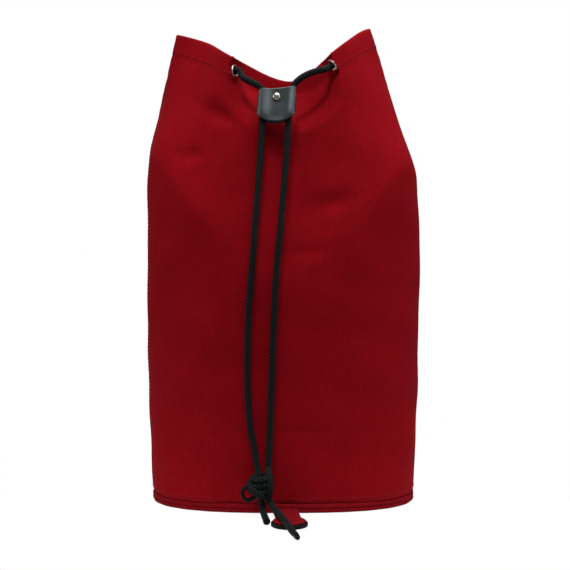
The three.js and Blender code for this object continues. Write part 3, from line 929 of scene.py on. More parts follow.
def rubber_material():
    look = Look("backing_rubber", 0.75, Specular_IOR_Level=0.08)
    place = look.place()
    grain = look.noise(place, 1100.0, 3.0, 0.7)
    dust = look.noise(place, 70.0, 3.0, 0.6)
    dusty = look.remap(dust, 0.5, 0.8, 0.0, 0.5)
    tone = look.blend(dusty, (0.0020, 0.0022, 0.0023), (0.0050, 0.0052, 0.0052))
    look.set("Base Color", tone)
    look.set("Roughness", look.remap(grain, 0.3, 0.7, 0.5, 0.72))
    look.bump(grain, 0.00012, 0.6)
    return look.material


def foam_material():
    """Closed-cell foam: small cells, a few dents and yellowing."""
    look = Look("float_foam", 0.9, Specular_IOR_Level=0.25)
    place = look.place()
    cells = look.cells(place, 620.0)
    stain = look.noise(place, 22.0, 3.0, 0.6)
    yellowed = look.remap(stain, 0.4, 0.7, 0.0, 1.0)
    tone = look.blend(yellowed, (0.70, 0.68, 0.60), (0.60, 0.55, 0.42))
    look.set("Base Color", look.shade(tone, look.remap(cells, 0.0, 0.7, 0.86, 1.04)))
    look.set("Roughness", look.remap(stain, 0.3, 0.7, 0.85, 0.95))
    look.bump(cells, 0.0004, 0.6)
    return look.material


def floor_material():
    look = Look("floor", 0.9, Specular_IOR_Level=0.1)
    look.set("Base Color", (0.10, 0.10, 0.10))
    look.set("Emission Color", (1.0, 1.0, 1.0))
    look.set("Emission Strength", 0.91)
    return look.material


CANVAS = canvas_material("canvas", CANVAS_RED, CANVAS_WORN, CANVAS_DEEP)
TAB_RED = canvas_material("tab_canvas", TAB_COLOUR, TAB_WORN, TAB_DEEP)
HEM = canvas_material("hem_canvas", HEM_COLOUR, CANVAS_WORN, CANVAS_DEEP)
WELT = canvas_material("welt_canvas", WELT_COLOUR, WELT_WORN, WELT_DEEP)
THREAD = thread_material()
CORD_LOOK = cord_material()
LEATHER = leather_material()
NICKEL = nickel_material()
RUBBER = rubber_material()
FOAM = foam_material()
FLOOR = floor_material()


# ------------------------------------------------------------------ cords and knot
def beside(row):
    turn, out, below = row
    return wall_offset(turn, rise_below_mouth(turn, below), out)


def mirrored(rows):
    return [(-turn, out, below) for turn, out, below in rows][::-1]


def through(number, inward):
    """Straight through an eyelet, from one side of the wall to the other."""
    eyelet = EYELETS[number - 1]
    stops = [eyelet["centre"] + eyelet["normal"] * out for out in (0.0055, 0.0025, -0.0025, -0.0068)]
    return stops if inward else stops[::-1]


def lacing_route():
    route = [np.array(p) for p in LACING_START]
    route += through(1, True)
    route += [beside(row) for row in LACING]
    route += through(2, False)
    route += [beside(row) for row in BACK_RUN]
    route += through(3, True)
    route += [beside(row) for row in BACK_CENTRE]
    route += through(4, False)
    route += [beside(row) for row in mirrored(BACK_RUN)]
    route += through(5, True)
    route += [beside(row) for row in mirrored(LACING)]
    route += through(6, False)
    route += [np.array(p) for p in LACING_FINISH]
    return route


KNOT_CENTRE = (-0.0228, -0.0975, 0.0352)
PRESSED_CORD = 0.0064  # diameter where the knot squeezes it
WRAP_STEPS = 56
WRAP_START = 0.48  # in turns
WRAP_TURNS = 2.95


def wrap_route():
    """The knot's wraps round its own strands: a spiral that starts and ends tucked in."""
    x, y, z = KNOT_CENTRE
    points = []
    for t in np.arange(WRAP_STEPS + 1) / WRAP_STEPS:
        turn = 2 * math.pi * (WRAP_START + WRAP_TURNS * t)
        tuck = smooth_step(0, 0.16, t) * (1 - smooth_step(0.86, 1.0, t))
        wide = mix(0.0036, 0.0098, tuck) * math.sin(turn)
        deep = mix(0.0030, 0.0074, tuck) * math.cos(turn)
        up = mix(0.0088, -0.0098, t) + 0.0024 * math.sin(turn - 0.5)
        points.append((x + wide, y - deep, z + up))
    return points


KNOT_CORE = [
    (-0.0260, -0.0928, 0.0500),
    (-0.0248, -0.0950, 0.0430),
    (-0.0236, -0.0968, 0.0350),
    (-0.0232, -0.0980, 0.0270),
    (-0.0224, -0.0985, 0.0192),
]
KNOT_SIDE = [
    (-0.0154, -0.0928, 0.0500),
    (-0.0150, -0.0980, 0.0462),
    (-0.0138, -0.1032, 0.0410),
    (-0.0130, -0.1052, 0.0340),
    (-0.0136, -0.1046, 0.0270),
    (-0.0144, -0.1018, 0.0218),
    (-0.0146, -0.0990, 0.0188),
]
KNOT_BIGHT = [
    (-0.0168, -0.0960, 0.0200),
    (-0.0200, -0.1040, 0.0226),
    (-0.0262, -0.1078, 0.0262),
    (-0.0322, -0.1060, 0.0318),
    (-0.0336, -0.1000, 0.0366),
    (-0.0300, -0.0940, 0.0390),
]


def add_knot():
    parts = Parts()
    for route in (wrap_route(), KNOT_CORE):
        parts.add(*cord_body(route, CORD)[:3])
    for route in (KNOT_SIDE, KNOT_BIGHT):
        parts.add(*cord_body(route, PRESSED_CORD)[:3])
    return parts.build("knot", "braid", CORD_LOOK, "cord_black", replaces=["cord_knot"])


TAILS = (
    (
        "squared_tail",
        SHORT_TAIL,
        ((0, 1), (0.84, 1.0), (0.92, 1.06), (1, 1.06)),
        ((0, 1), (0.90, 1), (0.94, 0.15), (1, 0)),
        "short_tail",
    ),
    (
        "tapered_tail",
        LONG_TAIL,
        ((0, 1), (0.80, 1), (0.90, 0.9), (0.965, 0.78), (0.985, 0.64), (1, 0.34)),
        ((0, 1), (0.88, 1), (0.93, 0.2), (1, 0)),
        "long_tail",
    ),
)


def add_cords():
    knot = add_knot()
    loop_route = [(-0.0280, -0.0975, 0.0320), *KNOT_LOOP, (-0.0255, -0.0980, 0.0235)]
    loop, _ = add_cord("loop_at_knot", loop_route, LOOP_CORD, replaces=["knot_loop"])
    left, line = add_cord("left_cord", LEFT_CORD, replaces=["hanging_cord_left"])
    right, line = add_cord("right_cord", RIGHT_CORD, replaces=["hanging_cord_right"])
    for name, route, taper, relief, node in TAILS:
        tail, line = add_cord(name, route, taper=taper, relief=relief, replaces=[node])
    add_cord("lacing", lacing_route(), replaces=["mouth_cord"])


# ------------------------------------------------------------------ stitches
STITCH_GAP = 0.0011
STITCH_SIDES = 6
# A share of its length, then its radius and height there as multiples of the thread's radius.
STITCH_SHAPE = (
    (0.0, 0.15, -1.6),
    (0.12, 0.85, -0.2),
    (0.5, 1.0, 0.45),
    (0.88, 0.85, -0.2),
    (1.0, 0.15, -1.6),
)
SEAM_END = 0.012  # of a turn, left without stitches beside each side seam


def add_stitches(parts, line, outward, length=0.0030, thick=0.00032):
    """One thread stitch after another along a line on the cloth, each bedded at its two ends."""
    along = travelled(line)
    starts = np.arange(STITCH_GAP, line_length(line) - length, length + STITCH_GAP)
    share, size, height = np.array(STITCH_SHAPE).T
    angle = (2 * math.pi * np.arange(STITCH_SIDES) / STITCH_SIDES)[None, :, None]
    faces = grid_faces(len(share), STITCH_SIDES, ring=True).tolist()
    faces += end_caps(len(share), STITCH_SIDES)
    for start in starts:
        at = start + length * share
        centre = sampled(at, along, line)
        up = unit(sampled(at, along, outward))
        side = unit(np.cross(unit(centre[-1] - centre[0]), up))
        centre = centre + up * (thick * height)[:, None]
        ring = np.cos(angle) * side[:, None] + np.sin(angle) * up[:, None]
        parts.add(centre[:, None] + ring * (thick * size)[:, None, None], faces)


def run(turns, below, out):
    """A line on the cloth, and the way out from it."""
    turns, below = np.broadcast_arrays(turns, below)
    return cloth(turns, below, out), wall_normal(turns, rise_below_mouth(turns, below))


def panel_turns():
    """A row of turns across the front panel, then one across the back panel."""
    return [np.linspace(low + SEAM_END, low + 1 - SEAM_END, 700) for low in (-0.5, 0.5)]


def add_stitching():
    rim = Parts()
    for turns in panel_turns():
        for below in HEM_STITCHES:
            add_stitches(rim, *run(turns, below, 0.0001))
    rim.build("hem_stitching", "cloth", THREAD, "hem_red")
    base = Parts()
    for turns in panel_turns():
        add_stitches(base, *run(turns, wall_depth(turns) - 0.0052, 0.0001))
    base.build("base_stitching", "cloth", THREAD, "welt_red")
    for name, turn in (("right", 0.5), ("left", -0.5)):
        side = Parts()
        for step in (0.0165, 0.0255):
            end = float(wall_depth(turn + step)) - 0.008
            below = np.linspace(FACING_DEPTH + 0.004, end, 500)
            add_stitches(side, *run(turn + step, below, 0.0), thick=0.00022)
        side.build(f"{name}_seam_stitching", "cloth", THREAD, "canvas_red")


# ------------------------------------------------------------------ canvas pieces
WALL_THICKNESS = 0.0011
ROLL = 0.0014  # half the thickness of the rolled mouth
LIP = 0.0032  # how far the roll comes down inside
HOLE_REACH = 0.008  # how far along an eyelet's axis its hole is looked for
PANEL_MARGIN = 0.0008  # of a turn, from a panel's edge to the side seam
PANEL_COLUMNS = 210
PANEL_ROWS = 250
FACING_COLUMNS = 420
FACING_ROWS = 26
FACING_OUT = -0.0023  # from the wall's outer face to the middle of the turned-in hem
FACING_HALF = 0.0005  # half the hem's thickness
TAPE_HALF = 0.014  # of a turn


def hem_profile():
    """Rows of (below, out) over the rolled mouth and down to the lip, outside and inside."""
    arc = np.linspace(0, math.pi, 9)
    rows = []
    for inset, radius in ((0, ROLL), (WALL_THICKNESS, ROLL - WALL_THICKNESS)):
        outer = [(ROLL - radius * math.sin(a), -ROLL + radius * math.cos(a)) for a in arc]
        rows.append(outer + [(LIP, -2 * ROLL + inset)])
    return rows


def panel_grid(turns, count):
    """Outer and inner grids of the same size: rows climb from the seam, over the roll, to the lip."""
    share = np.linspace(0, 1, count)
    share = share + 0.035 * np.sin(2 * math.pi * share)
    straight = wall_depth(turns)[None, :] * (1 - share)[:, None]
    straight = np.maximum(straight, ROLL)[:-1]
    grids = []
    for rows, out in zip(hem_profile(), (0.0, -WALL_THICKNESS)):
        depth, offset = np.array(rows).T[..., None] * np.ones_like(turns)
        below = np.concatenate([straight, depth])
        level = np.concatenate([np.full_like(straight, out), offset])
        grids.append(cloth(turns[None, :], below, level))
    return grids


def bump_at(distance, reach):
    """1 at a distance of 0, and fading away within about the reach."""
    return np.exp(-((distance / reach) ** 2))


def cloth_coordinates(turns, grid):
    """Metres along and up the cloth, and its wear."""
    steps = np.linalg.norm(np.diff(grid, axis=0), axis=-1)
    up = np.cumsum(np.concatenate([np.zeros((1, grid.shape[1])), steps]), axis=0)
    along = np.broadcast_to(turns * TURN_LENGTH, up.shape)
    from_mouth = up[-1][None, :] - up
    rubbed = 0.55 * bump_at(from_mouth - 0.005, 0.0022)
    rubbed += 0.30 * bump_at(up, 0.004)
    rubbed += 0.30 * bump_at(side_distance(turns)[None, :], 0.004)
    return np.stack([along, up, np.clip(rubbed, 0, 1)], -1)


def holes_in(grid):
    """Which cells of a grid lie inside an eyelet's hole."""
    centre = (grid[:-1, :-1] + grid[1:, :-1] + grid[:-1, 1:] + grid[1:, 1:]) / 4
    gone = np.zeros(centre.shape[:2], bool)
    for eyelet in EYELETS:
        axial, radial = about_axis(centre, eyelet)
        within = np.linalg.norm(radial, axis=-1) < EYELET_BARREL + 0.0004
        gone |= within & (np.abs(axial) < HOLE_REACH)
    return gone


def round_rim(grid, gone):
    """Moves the points round each hole onto a circle just outside the barrel."""
    touched = np.zeros(grid.shape[:2], int)
    for dr in (0, 1):
        for dc in (0, 1):
            touched[dr : dr + gone.shape[0], dc : dc + gone.shape[1]] += gone
    rim = (touched > 0) & (touched < 4)
    for eyelet in EYELETS:
        axial, radial = about_axis(grid, eyelet)
        size = np.linalg.norm(radial, axis=-1, keepdims=True)
        near = rim & (size[..., 0] < 0.010) & (np.abs(axial) < HOLE_REACH)
        moved = radial / np.maximum(size, 1e-9) * (EYELET_BARREL + EYELET_SLACK)
        on_circle = eyelet["centre"] + axial[..., None] * eyelet["normal"] + moved
        grid = np.where(near[..., None], on_circle, grid)
    return grid


def closed_sheet(outer, inner, gone):
    """Points and faces of a thick sheet between two grids, with the marked cells left open."""
    rows, columns = outer.shape[:2]
    size = rows * columns
    kept = np.pad(~gone, 1)
    r, c = np.nonzero(~gone)
    a = r * columns + c
    quad = np.stack([a, a + 1, a + columns + 1, a + columns], -1)
    faces = quad.tolist() + (quad[:, ::-1] + size).tolist()
    edges = (
        (-1, 0, 0, 1),
        (0, 1, 1, columns + 1),
        (1, 0, columns + 1, columns),
        (0, -1, columns, 0),
    )
    for dr, dc, p, q in edges:
        neighbour = kept[1 + dr : dr + rows, 1 + dc : dc + columns]
        r, c = np.nonzero(kept[1:-1, 1:-1] & ~neighbour)
        a = r * columns + c
        faces += np.stack([a + q, a + p, a + p + size, a + q + size], -1).tolist()
    return np.concatenate([outer.reshape(-1, 3), inner.reshape(-1, 3)]), faces


def drop_unused(points, faces, vectors):
    """Leaves out the points that no face uses."""
    used = np.zeros(len(points), bool)
    for face in faces:
        used[face] = True
    index = np.cumsum(used) - 1
    faces = [[int(index[i]) for i in face] for face in faces]
    return points[used], faces, {key: value[used] for key, value in vectors.items()}


def add_sheet_piece(name, turns, outer, inner, material, slot, node, wear=1.0):
    coordinates = cloth_coordinates(turns, outer) * (1, 1, wear)
    gone = holes_in(outer)
    outer = round_rim(outer, gone)
    inner = round_rim(inner, gone)
    points, faces = closed_sheet(outer, inner, gone)
    both = np.concatenate([coordinates.reshape(-1, 3)] * 2)
    points, faces, vectors = drop_unused(points, faces, {"cloth": both})
    add_mesh(name, points, faces, material, slot, replaces=[node], vectors=vectors)


def add_panels():
    for name, low in (("front", -0.5), ("back", 0.5)):
        turns = np.linspace(low + PANEL_MARGIN, low + 1 - PANEL_MARGIN, PANEL_COLUMNS)
        grids = panel_grid(turns, PANEL_ROWS)
        add_sheet_piece(f"{name}_wall", turns, *grids, CANVAS, "canvas_red", f"{name}_panel")


def add_facing():
    """The turned-in hem inside the mouth, with its lower edge folded under."""
    turns = np.linspace(-0.5, 1.5, FACING_COLUMNS)
    turns[-1] = 1.5 - 0.0002
    below = np.linspace(LIP + 0.0003, FACING_DEPTH, FACING_ROWS)
    fold = 0.0005 * smooth_step(FACING_DEPTH - 0.0045, FACING_DEPTH - 0.0035, below)
    thick = np.full(FACING_ROWS, FACING_HALF)
    thick[[0, -1]] *= 0.35
    middle = FACING_OUT - fold / 2
    grids = [
        cloth(turns[None, :], below[:, None], (middle + side * (thick + fold / 2))[:, None])
        for side in (1, -1)
    ]
    add_sheet_piece("hem_facing", turns, *grids, HEM, "hem_red", "mouth_facing", 0.3)


def add_seam_tapes():
    for name, turn in (("right", 0.5), ("left", -0.5)):
        turns = np.linspace(turn - TAPE_HALF, turn + TAPE_HALF, 13)
        end = float(wall_depth(turn)) - 0.012
        below = np.linspace(FACING_DEPTH + 0.002, end, 220)[:, None]
        bow = 0.0004 * np.cos(np.linspace(-math.pi / 2, math.pi / 2, 13))[None, :]
        ripple = 0.00012 * np.sin(2 * math.pi * below / 0.008)
        grids = [cloth(turns[None, :], below, out) for out in (-0.0026, -0.0031 - bow + ripple)]
        add_sheet_piece(f"{name}_tape", turns, *grids, HEM, "hem_red", f"{name}_seam_tape")


# ------------------------------------------------------------------ base
def base_ring(turns, profile):
    """A ring round the base from (inset, height) pairs."""
    rows = []
    for inset, height in profile:
        ring = outline(turns, 0.0, inset)
        ring[..., 2] = height
        rows.append(ring)
    return np.array(rows)


# (inset, height) round the strip between wall and base
WELT_PROFILE = [
    (0.0048, 0.0004), (0.0012, 0.0003), (0.0002, 0.0005), (-0.0006, 0.0011),
    (-0.0011, 0.0022), (-0.0012, 0.0034), (-0.0008, 0.0041), (-0.0005, 0.0046),
    (-0.0007, 0.0052), (-0.0012, 0.0062), (-0.0012, 0.0074), (-0.0007, 0.0086),
    (0.0001, 0.0094), (0.0012, 0.0097), (0.0048, 0.0097), (0.0049, 0.0050),
]


def add_welt():
    """The strip between wall and base: a folded band over a corded lower edge."""
    turns = np.linspace(-0.5, 1.5, 900, endpoint=False)
    across = turns * TURN_LENGTH
    wobble = 0.00022 * np.sin(2 * math.pi * across / 0.021 + 2 * np.sin(19 * across))
    wobble += 0.00012 * np.sin(2 * math.pi * across / 0.0041)
    normal = unit(outline(turns, 0.0, -0.001) - outline(turns, 0.0, 0.001))
    inset = np.array(WELT_PROFILE)[:, 0]
    outside = np.where(inset < 0.001, 1.0, 0.0)
    rows = base_ring(turns, WELT_PROFILE)
    rows = rows + (outside[:, None] * wobble[None, :])[..., None] * normal[None]
    up = travelled(np.array(WELT_PROFILE))
    wear = np.where(inset < -0.001, 0.55, 0.15)
    coordinates = np.stack(np.broadcast_arrays(across, up[:, None], wear[:, None]), -1)
    faces = grid_faces(*rows.shape[:2], ring=True, row_ring=True)
    vectors = {"cloth": coordinates}
    add_mesh("base_binding", rows, faces, WELT, "welt_red", replaces=["base_welt"], vectors=vectors)


def filled_disc(turns, profile, rings):
    """A closed pad: a fan of rings under, the profile round the rim, and a fan on top."""
    rim = base_ring(turns, profile)
    low = rim[0]
    high = rim[-1]
    shares = np.linspace(0.04, 1, rings, endpoint=False)
    under = np.array([low * (s, s, 1) for s in shares])
    over = np.array([high * (s, s, 1) for s in shares[::-1]])
    return np.concatenate([under, rim, over])


def close_disc(rows):
    count, columns = rows.shape[:2]
    return grid_faces(count, columns, ring=True).tolist() + end_caps(count, columns)


# (inset, height) round the edge of the bottom canvas
BASE_PANEL_PROFILE = [
    (0.0060, 0.0001), (0.0055, 0.0004), (0.0053, 0.0008), (0.0055, 0.0013), (0.0062, 0.0016),
]
FLOAT_INSET = 0.0092
FLOAT_LOW = 0.0021
FLOAT_HIGH = 0.0137
FLOAT_ROUND = 0.0028
# Dents in the top of the foam: x, y, width and depth.
FLOAT_DENTS = (
    (-0.05, 0.01, 0.02, 0.0012),
    (0.04, -0.02, 0.03, 0.0010),
    (0.08, 0.03, 0.015, 0.0012),
)


def add_base_panel():
    turns = np.linspace(-0.5, 1.5, 260, endpoint=False)
    rows = filled_disc(turns, BASE_PANEL_PROFILE, 26)
    sag = 0.00012 * (np.sin(90 * rows[..., 0] + 1) + np.sin(110 * rows[..., 1]))
    inner = np.hypot(rows[..., 0] / BASE_HALF_WIDTH, rows[..., 1] / BASE_HALF_DEPTH) < 0.93
    rows[..., 2] = np.clip(rows[..., 2] + sag * inner, 0.0, 0.0018)
    vectors = {"cloth": rows * (1, 1, 0)}
    faces = close_disc(rows)
    add_mesh(
        "bottom_canvas", rows, faces, CANVAS, "canvas_red", replaces=["base_panel"], vectors=vectors
    )
    seam = Parts()
    line = base_ring(turns, [(0.0115, 0.0)])[0]
    line = np.concatenate([line, line[:1]]) + (0, 0, 0.00022)
    add_stitches(seam, line, np.broadcast_to((0.0, 0.0, -1.0), line.shape), thick=0.0002)
    seam.build("bottom_stitching", "cloth", THREAD, "welt_red")


def float_profile():
    """(inset, height) up the edge of the foam, with both corners rounded."""
    profile = []
    for a in quarter(6):
        inset = FLOAT_INSET + FLOAT_ROUND * (1 - math.sin(a))
        profile.append((inset, FLOAT_LOW + FLOAT_ROUND * (1 - math.cos(a))))
    for a in quarter(6):
        inset = FLOAT_INSET + FLOAT_ROUND * (1 - math.cos(a))
        profile.append((inset, FLOAT_HIGH - FLOAT_ROUND * (1 - math.sin(a))))
    return profile


def add_float():
    """The foam pad that keeps the bag afloat, with soft edges and a few dents on top."""
    turns = np.linspace(-0.5, 1.5, 240, endpoint=False)
    rows = filled_disc(turns, float_profile(), 40)
    top = rows[..., 2] > FLOAT_HIGH - 0.0007
    for x, y, wide, depth in FLOAT_DENTS:
        hollow = depth * np.exp(-((rows[..., 0] - x) ** 2 + (rows[..., 1] - y) ** 2) / wide**2)
        rows[..., 2] -= np.where(top, hollow, 0)
    piece = add_mesh("foam_float", rows, close_disc(rows), FOAM, "foam_white", replaces=["base_float"])


# ------------------------------------------------------------------ eyelets
def collar_profile(high, low):
    """(radius, height) of an eyelet: its barrel, rolled flange and throat."""
    middle = EYELET_FLANGE - FLANGE_ROUND
    foot = low - FLANGE_ROUND
    profile = [(EYELET_BARREL, foot), (EYELET_BARREL, high)]
    for a in quarter(7):
        profile.append((middle + FLANGE_ROUND * math.cos(a), high + FLANGE_ROUND * math.sin(a)))
    for a in quarter(7):
        drop = THROAT_ROUND * (1 - math.cos(a))
        radius = EYELET_HOLE + THROAT_ROUND * (1 - math.sin(a))
        profile.append((radius, high + FLANGE_ROUND - drop))
    return profile + [(EYELET_HOLE, foot)]


def washer_profile(low):
    bore = EYELET_BARREL + EYELET_SLACK
    return [
        (bore, low),
        (WASHER - 0.0003, low),
        (WASHER, low - 0.0003),
        (WASHER - 0.0004, low - 0.0008),
        (EYELET_BARREL + 0.0006, low - 0.0009),
        (bore, low - 0.0006),
    ]


def add_eyelets():
    for number, eyelet in enumerate(EYELETS, 1):
        collar = collar_profile(eyelet["high"], eyelet["low"])
        place_lathe(f"eyelet_ring_{number}", collar, eyelet, f"eyelet_{number}")
        washer = washer_profile(eyelet["low"])
        place_lathe(f"eyelet_back_{number}", washer, eyelet, f"eyelet_washer_{number}")


def place_lathe(name, profile, eyelet, node):
    points, faces = lathe(profile, 56, closed_ring=True)
    points = points @ axes_from(eyelet["normal"]).T + eyelet["centre"]
    add_mesh(name, points, faces, NICKEL, "nickel", replaces=[node])


# ------------------------------------------------------------------ slider
SLIDER_TURN = Vector((0, 0, -1)).rotation_difference(SLIDE_DIRECTION).to_matrix()
LEATHER_THICKNESS = 0.0015
SLIDER_COLUMNS = 220
SLIDER_ASKEW = 0.08  # how much lower its left end is, as a slope
SLIDER_TOP_HOLLOW = 0.0015
# Where the cords press out the front: place across, reach and height.
SLIDER_RIDGES = ((-0.0125, 0.0052, 0.0011), (0.0132, 0.0042, 0.001265))
RIVET_CAP = 0.0037
RIVET_POST = 0.0018


def slider_outline(count):
    """Points, outward normals of the flattened tube that the leather is bent into."""
    radius = SLIDER_HALF_DEPTH
    side = SLIDER_HALF_WIDTH - radius
    straight = 2 * side
    arc = math.pi * radius
    total = 2 * (straight + arc)
    points = []
    normals = []
    for k in range(count):
        s = total * k / count
        if s < straight:
            points.append((-side + s, -radius))
            normals.append((0.0, -1.0))
        elif s < straight + arc:
            a = (s - straight) / radius
            normals.append((math.sin(a), -math.cos(a)))
            points.append((side + radius * math.sin(a), -radius * math.cos(a)))
        elif s < 2 * straight + arc:
            points.append((side - (s - straight - arc), radius))
            normals.append((0.0, 1.0))
        else:
            a = (s - 2 * straight - arc) / radius
            normals.append((-math.sin(a), math.cos(a)))
            points.append((-side - radius * math.sin(a), radius * math.cos(a)))
    return np.array(points), np.array(normals)


def slider_profile():
    """Rows of (share of the height, out, past the end) up the outside and down the inside."""
    rim = LEATHER_THICKNESS / 2
    arc = np.linspace(0, math.pi, 7)[1:-1]
    middle = np.linspace(0, 1, 56)
    profile = [(t, 0.0, 0.0) for t in middle]
    profile += [(1, -rim + rim * math.cos(a), rim * math.sin(a)) for a in arc]
    profile += [(t, -LEATHER_THICKNESS, 0.0) for t in middle[::-1]]
    profile += [(0, -rim - rim * math.cos(a), -rim * math.sin(a)) for a in arc]
    return profile


def slider_ends(flat):
    """The lowest and highest z of the leather at each place round it."""
    x = flat[:, 0]
    inward = 1 - (x / (SLIDER_HALF_WIDTH + 0.001)) ** 2
    top = SLIDER_HEIGHT / 2
    askew = SLIDER_ASKEW * x
    lowest = askew - top + SLIDER_ROUND - SLIDER_ROUND * np.sqrt(inward)
    highest = 1.8 * askew + top - SLIDER_TOP_HOLLOW * inward
    behind = smooth_step(-SLIDER_CUT_DEPTH - 0.0012, -SLIDER_CUT_DEPTH + 0.0004, flat[:, 1])
    return lowest, mix(highest, SLIDER_CUT_HEIGHT, behind)


def slider_painted_light(x, y, rise):
    """A painted highlight where the cords press the front out, and painted shade where the sides roll
    back.
    """
    # rubbed here is the painted highlight over the cord ridges
    rubbed = 0.75 * bump_at(x + 0.0098, 0.0046) + bump_at(x - 0.0143, 0.0020)
    rubbed = rubbed * (y < 0) * smooth_step(0.003, 0.012, rise)
    return rubbed, np.broadcast_to(smooth_step(0.0150, 0.0185, np.abs(x)), rubbed.shape)


def add_slider():
    """The bent leather: hollow top edge, straight rolled sides, round bottom."""
    flat, normal = slider_outline(SLIDER_COLUMNS)
    x = flat[:, 0]
    lowest, highest = slider_ends(flat)
    rim = LEATHER_THICKNESS / 2
    front = normal[:, 1] < -0.5
    ridge = sum(high * bump_at(x - at, reach) for at, reach, high in SLIDER_RIDGES)
    rows = []
    edges = []
    heights = []
    for share, out, past in slider_profile():
        z = mix(lowest + rim, highest - rim, share) + past
        rise = z - lowest
        nail = bump_at(x - RIVET_PLACE.x, 0.0075) * bump_at(z - RIVET_PLACE.z, 0.0085)
        pinch = -0.0007 * nail * (np.abs(normal[:, 1]) > 0.5)
        belly = ridge * smooth_step(0.0, 0.006, rise) * front
        flare = 0.0006 * bump_at(rise, 0.004) * front
        skin = flat + normal * (out + pinch + belly + flare)[:, None]
        rows.append(np.stack([skin[:, 0], skin[:, 1], z], -1))
        near = np.maximum(np.minimum(rise, highest - z) - 0.0006, 0)
        edges.append(np.where(out < -0.0001, 1.0, 0.75 * np.exp(-near / 0.0006)))
        heights.append(rise)
    rows = np.array(rows) @ np.array(SLIDER_TURN).T + np.array(SLIDER_PLACE)
    # the cut edges, then the painted highlight and the painted shade
    look = np.stack([np.array(edges), *slider_painted_light(x, flat[:, 1], np.array(heights))], -1)
    faces = grid_faces(*rows.shape[:2], ring=True, row_ring=True)
    add_mesh(
        "slider_leather",
        rows,
        faces,
        LEATHER,
        "leather_black",
        body="slider",
        replaces=["slider_wrap"],
        vectors={"edge": look},
    )


def rivet_profile(front):
    """(radius, height) of the rivet, from the top of its dome to its spread end."""
    profile = []
    for a in quarter(14, 0.05):
        profile.append((RIVET_CAP * math.sin(a), front + 0.0004 + 0.0016 * math.cos(a)))
    return profile + [
        (RIVET_CAP, front + 0.0001),
        (RIVET_CAP - 0.0003, front - 0.0003),
        (RIVET_POST, front - 0.0003),
        (RIVET_POST, -front - 0.0008),
        (RIVET_POST * 0.9, -front - 0.0012),
        (RIVET_POST * 0.3, -front - 0.0014),
    ]


def burr_profile(front):
    return [
        (RIVET_POST + 0.0003, -front - 0.0008),
        (RIVET_CAP - 0.0004, -front - 0.0007),
        (RIVET_CAP, -front - 0.0003),
        (RIVET_CAP - 0.0002, -front),
        (RIVET_POST + 0.0003, -front),
    ]


def add_rivet():
    """A domed rivet and the burr its end is spread over."""
    front = SLIDER_HALF_DEPTH + 0.0003
    seat = np.array([(1, 0, 0), (0, 0, -1), (0, 1, 0)], float)
    for name, profile, ring, node in (
        ("rivet_head", rivet_profile(front), False, "slider_rivet"),
        ("rivet_burr", burr_profile(front), True, "slider_rivet_burr"),
    ):
        points, faces = lathe(profile, 48, closed_ring=ring)
        points = points @ seat.T + np.array(RIVET_PLACE)
        points = points @ np.array(SLIDER_TURN).T + np.array(SLIDER_PLACE)
        add_mesh(name, points, faces, NICKEL, "nickel", body="slider", replaces=[node])


# ------------------------------------------------------------------ pull tab
STRAP_LOW = TAB_BACKING + 0.0003
STRAP_HIGH = STRAP_LOW + 0.0013
STRAP_HEART = np.array((0.0, -0.040))  # the place that its rings shrink towards


def tab_outline(grow, count=150):
    """The strap from above: a neck that runs into a disc. grow moves its edge out."""
    radius = TAB_RADIUS + grow
    neck = TAB_NECK / 2 + grow
    join = math.asin(neck / radius)
    angles = np.linspace(math.pi / 2 + join, math.pi / 2 - join + 2 * math.pi, count)
    disc = np.stack([radius * np.cos(angles), -TAB_REACH + radius * np.sin(angles)], -1)
    left = np.stack([np.full(12, -neck), np.linspace(0.0, disc[0, 1], 12, endpoint=False)], -1)
    right = np.stack([np.full(12, neck), np.linspace(disc[-1, 1], 0.0, 13)[1:]], -1)
    back = np.stack([np.linspace(neck, -neck, 10)[1:-1], np.zeros(8)], -1)
    return np.concatenate([left, disc, right, back])


def to_tab(points):
    """Turns points of the tab to its own direction on the floor, and moves them there."""
    c = math.cos(TAB_TURN)
    s = math.sin(TAB_TURN)
    return points @ np.array([(c, -s, 0), (s, c, 0), (0, 0, 1)]).T + np.array(TAB_PLACE)


def strap_rings():
    """(outline, z) rings: in under the strap, up its edge, and in again over its top."""
    under = tab_outline(-0.0004)
    over = tab_outline(-0.0006)
    rings = [(STRAP_HEART + (under - STRAP_HEART) * k, STRAP_LOW) for k in (0.10, 0.3, 0.5, 0.7, 0.9)]
    for grow, z in (
        (-0.0004, STRAP_LOW),
        (0.0, STRAP_LOW + 0.0004),
        (0.0, STRAP_HIGH - 0.0005),
        (-0.0006, STRAP_HIGH),
    ):
        rings.append((tab_outline(grow), z))
    for k in (0.97, 0.93, 0.88, 0.8, 0.68, 0.54, 0.4, 0.26, 0.12):
        rings.append((STRAP_HEART + (over - STRAP_HEART) * k, STRAP_HIGH))
    return rings


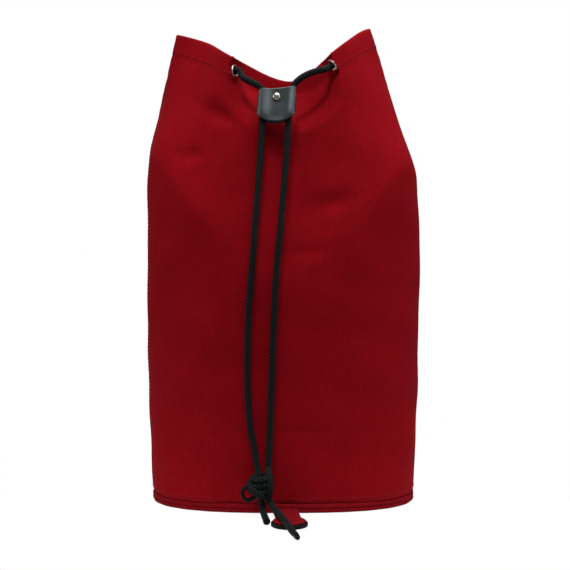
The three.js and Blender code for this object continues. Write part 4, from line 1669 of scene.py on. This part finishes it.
def add_strap():
    """The tab's red strap, a little raised over the middle of its disc."""
    rings = strap_rings()
    rows = np.array([np.concatenate([flat, np.full((len(flat), 1), z)], -1) for flat, z in rings])
    x, y, z = rows[..., 0], rows[..., 1], rows[..., 2]
    crown = 0.0006 * bump_at(y + TAB_REACH, 0.014) * bump_at(x, 0.014)
    crown += 0.00018 * np.sin(260 * x + 1.0) * np.sin(210 * y)
    z += crown * (z > STRAP_HIGH - 0.0002)
    coordinates = rows * (1, 1, 0)
    coordinates[..., 2] = np.where(z < STRAP_HIGH - 0.0003, 0.5, 0.0)
    add_mesh(
        "tab_canvas",
        to_tab(rows),
        close_disc(rows),
        TAB_RED,
        "canvas_red",
        replaces=["tab_strap"],
        vectors={"cloth": coordinates},
    )


def add_tab_stitching():
    seam = Parts()
    line = tab_outline(-0.0030)[:-8]
    line = np.concatenate([line, np.full((len(line), 1), STRAP_HIGH + 0.00012)], -1)
    route = even(to_tab(line), 0.0005)
    outward = np.broadcast_to((0.0, 0.0, 1.0), route.shape)
    add_stitches(seam, route, outward, length=0.0024)
    seam.build("tab_stitching", "cloth", THREAD, "canvas_red")


def backing_profile():
    """(radius, height) of the rubber disc, with a rounded rim."""
    edge = TAB_RADIUS + TAB_RIM
    soft = 0.0012
    profile = [(0.0004, 0.0), (edge * 0.5, 0.0), (edge - 0.0016, 0.0001)]
    for a in quarter(6, 0.2):
        profile.append((edge - soft * (1 - math.sin(a)), 0.0013 - soft * math.cos(a)))
    for a in quarter(7):
        height = TAB_BACKING - soft + soft * math.sin(a)
        profile.append((edge - soft * (1 - math.cos(a)), height))
    return profile + [(edge * 0.7, TAB_BACKING), (edge * 0.3, TAB_BACKING), (0.0004, TAB_BACKING)]


def add_backing():
    points, faces = lathe(backing_profile(), 96, closed_ring=False)
    points = to_tab(points + (0.0, -TAB_REACH, 0.0))
    add_mesh("tab_rubber", points, faces, RUBBER, "backing_black", replaces=["tab_backing"])


FLOOR_HALF = 0.30
FLOOR_DROP = 0.0002  # keeps the floor clear of what lies on it


def add_floor():
    points = [
        (FLOOR_HALF * x, FLOOR_HALF * y, -FLOOR_DROP)
        for x, y in ((-1, -1), (1, -1), (1, 1), (-1, 1))
    ]
    mesh = bpy.data.meshes.new("floor")
    mesh.from_pydata(points, [], [(0, 1, 2, 3)])
    mesh.materials.append(FLOOR)
    floor = bpy.data.objects.new("floor", mesh)
    bpy.context.scene.collection.objects.link(floor)


# ------------------------------------------------------------------ assembly
add_camera()
add_cords()
add_lights()
set_world()
add_floor()
add_panels()
add_facing()
add_seam_tapes()
add_stitching()
add_welt()
add_base_panel()
add_float()
add_eyelets()
add_slider()
add_rivet()
add_strap()
add_tab_stitching()
add_backing()
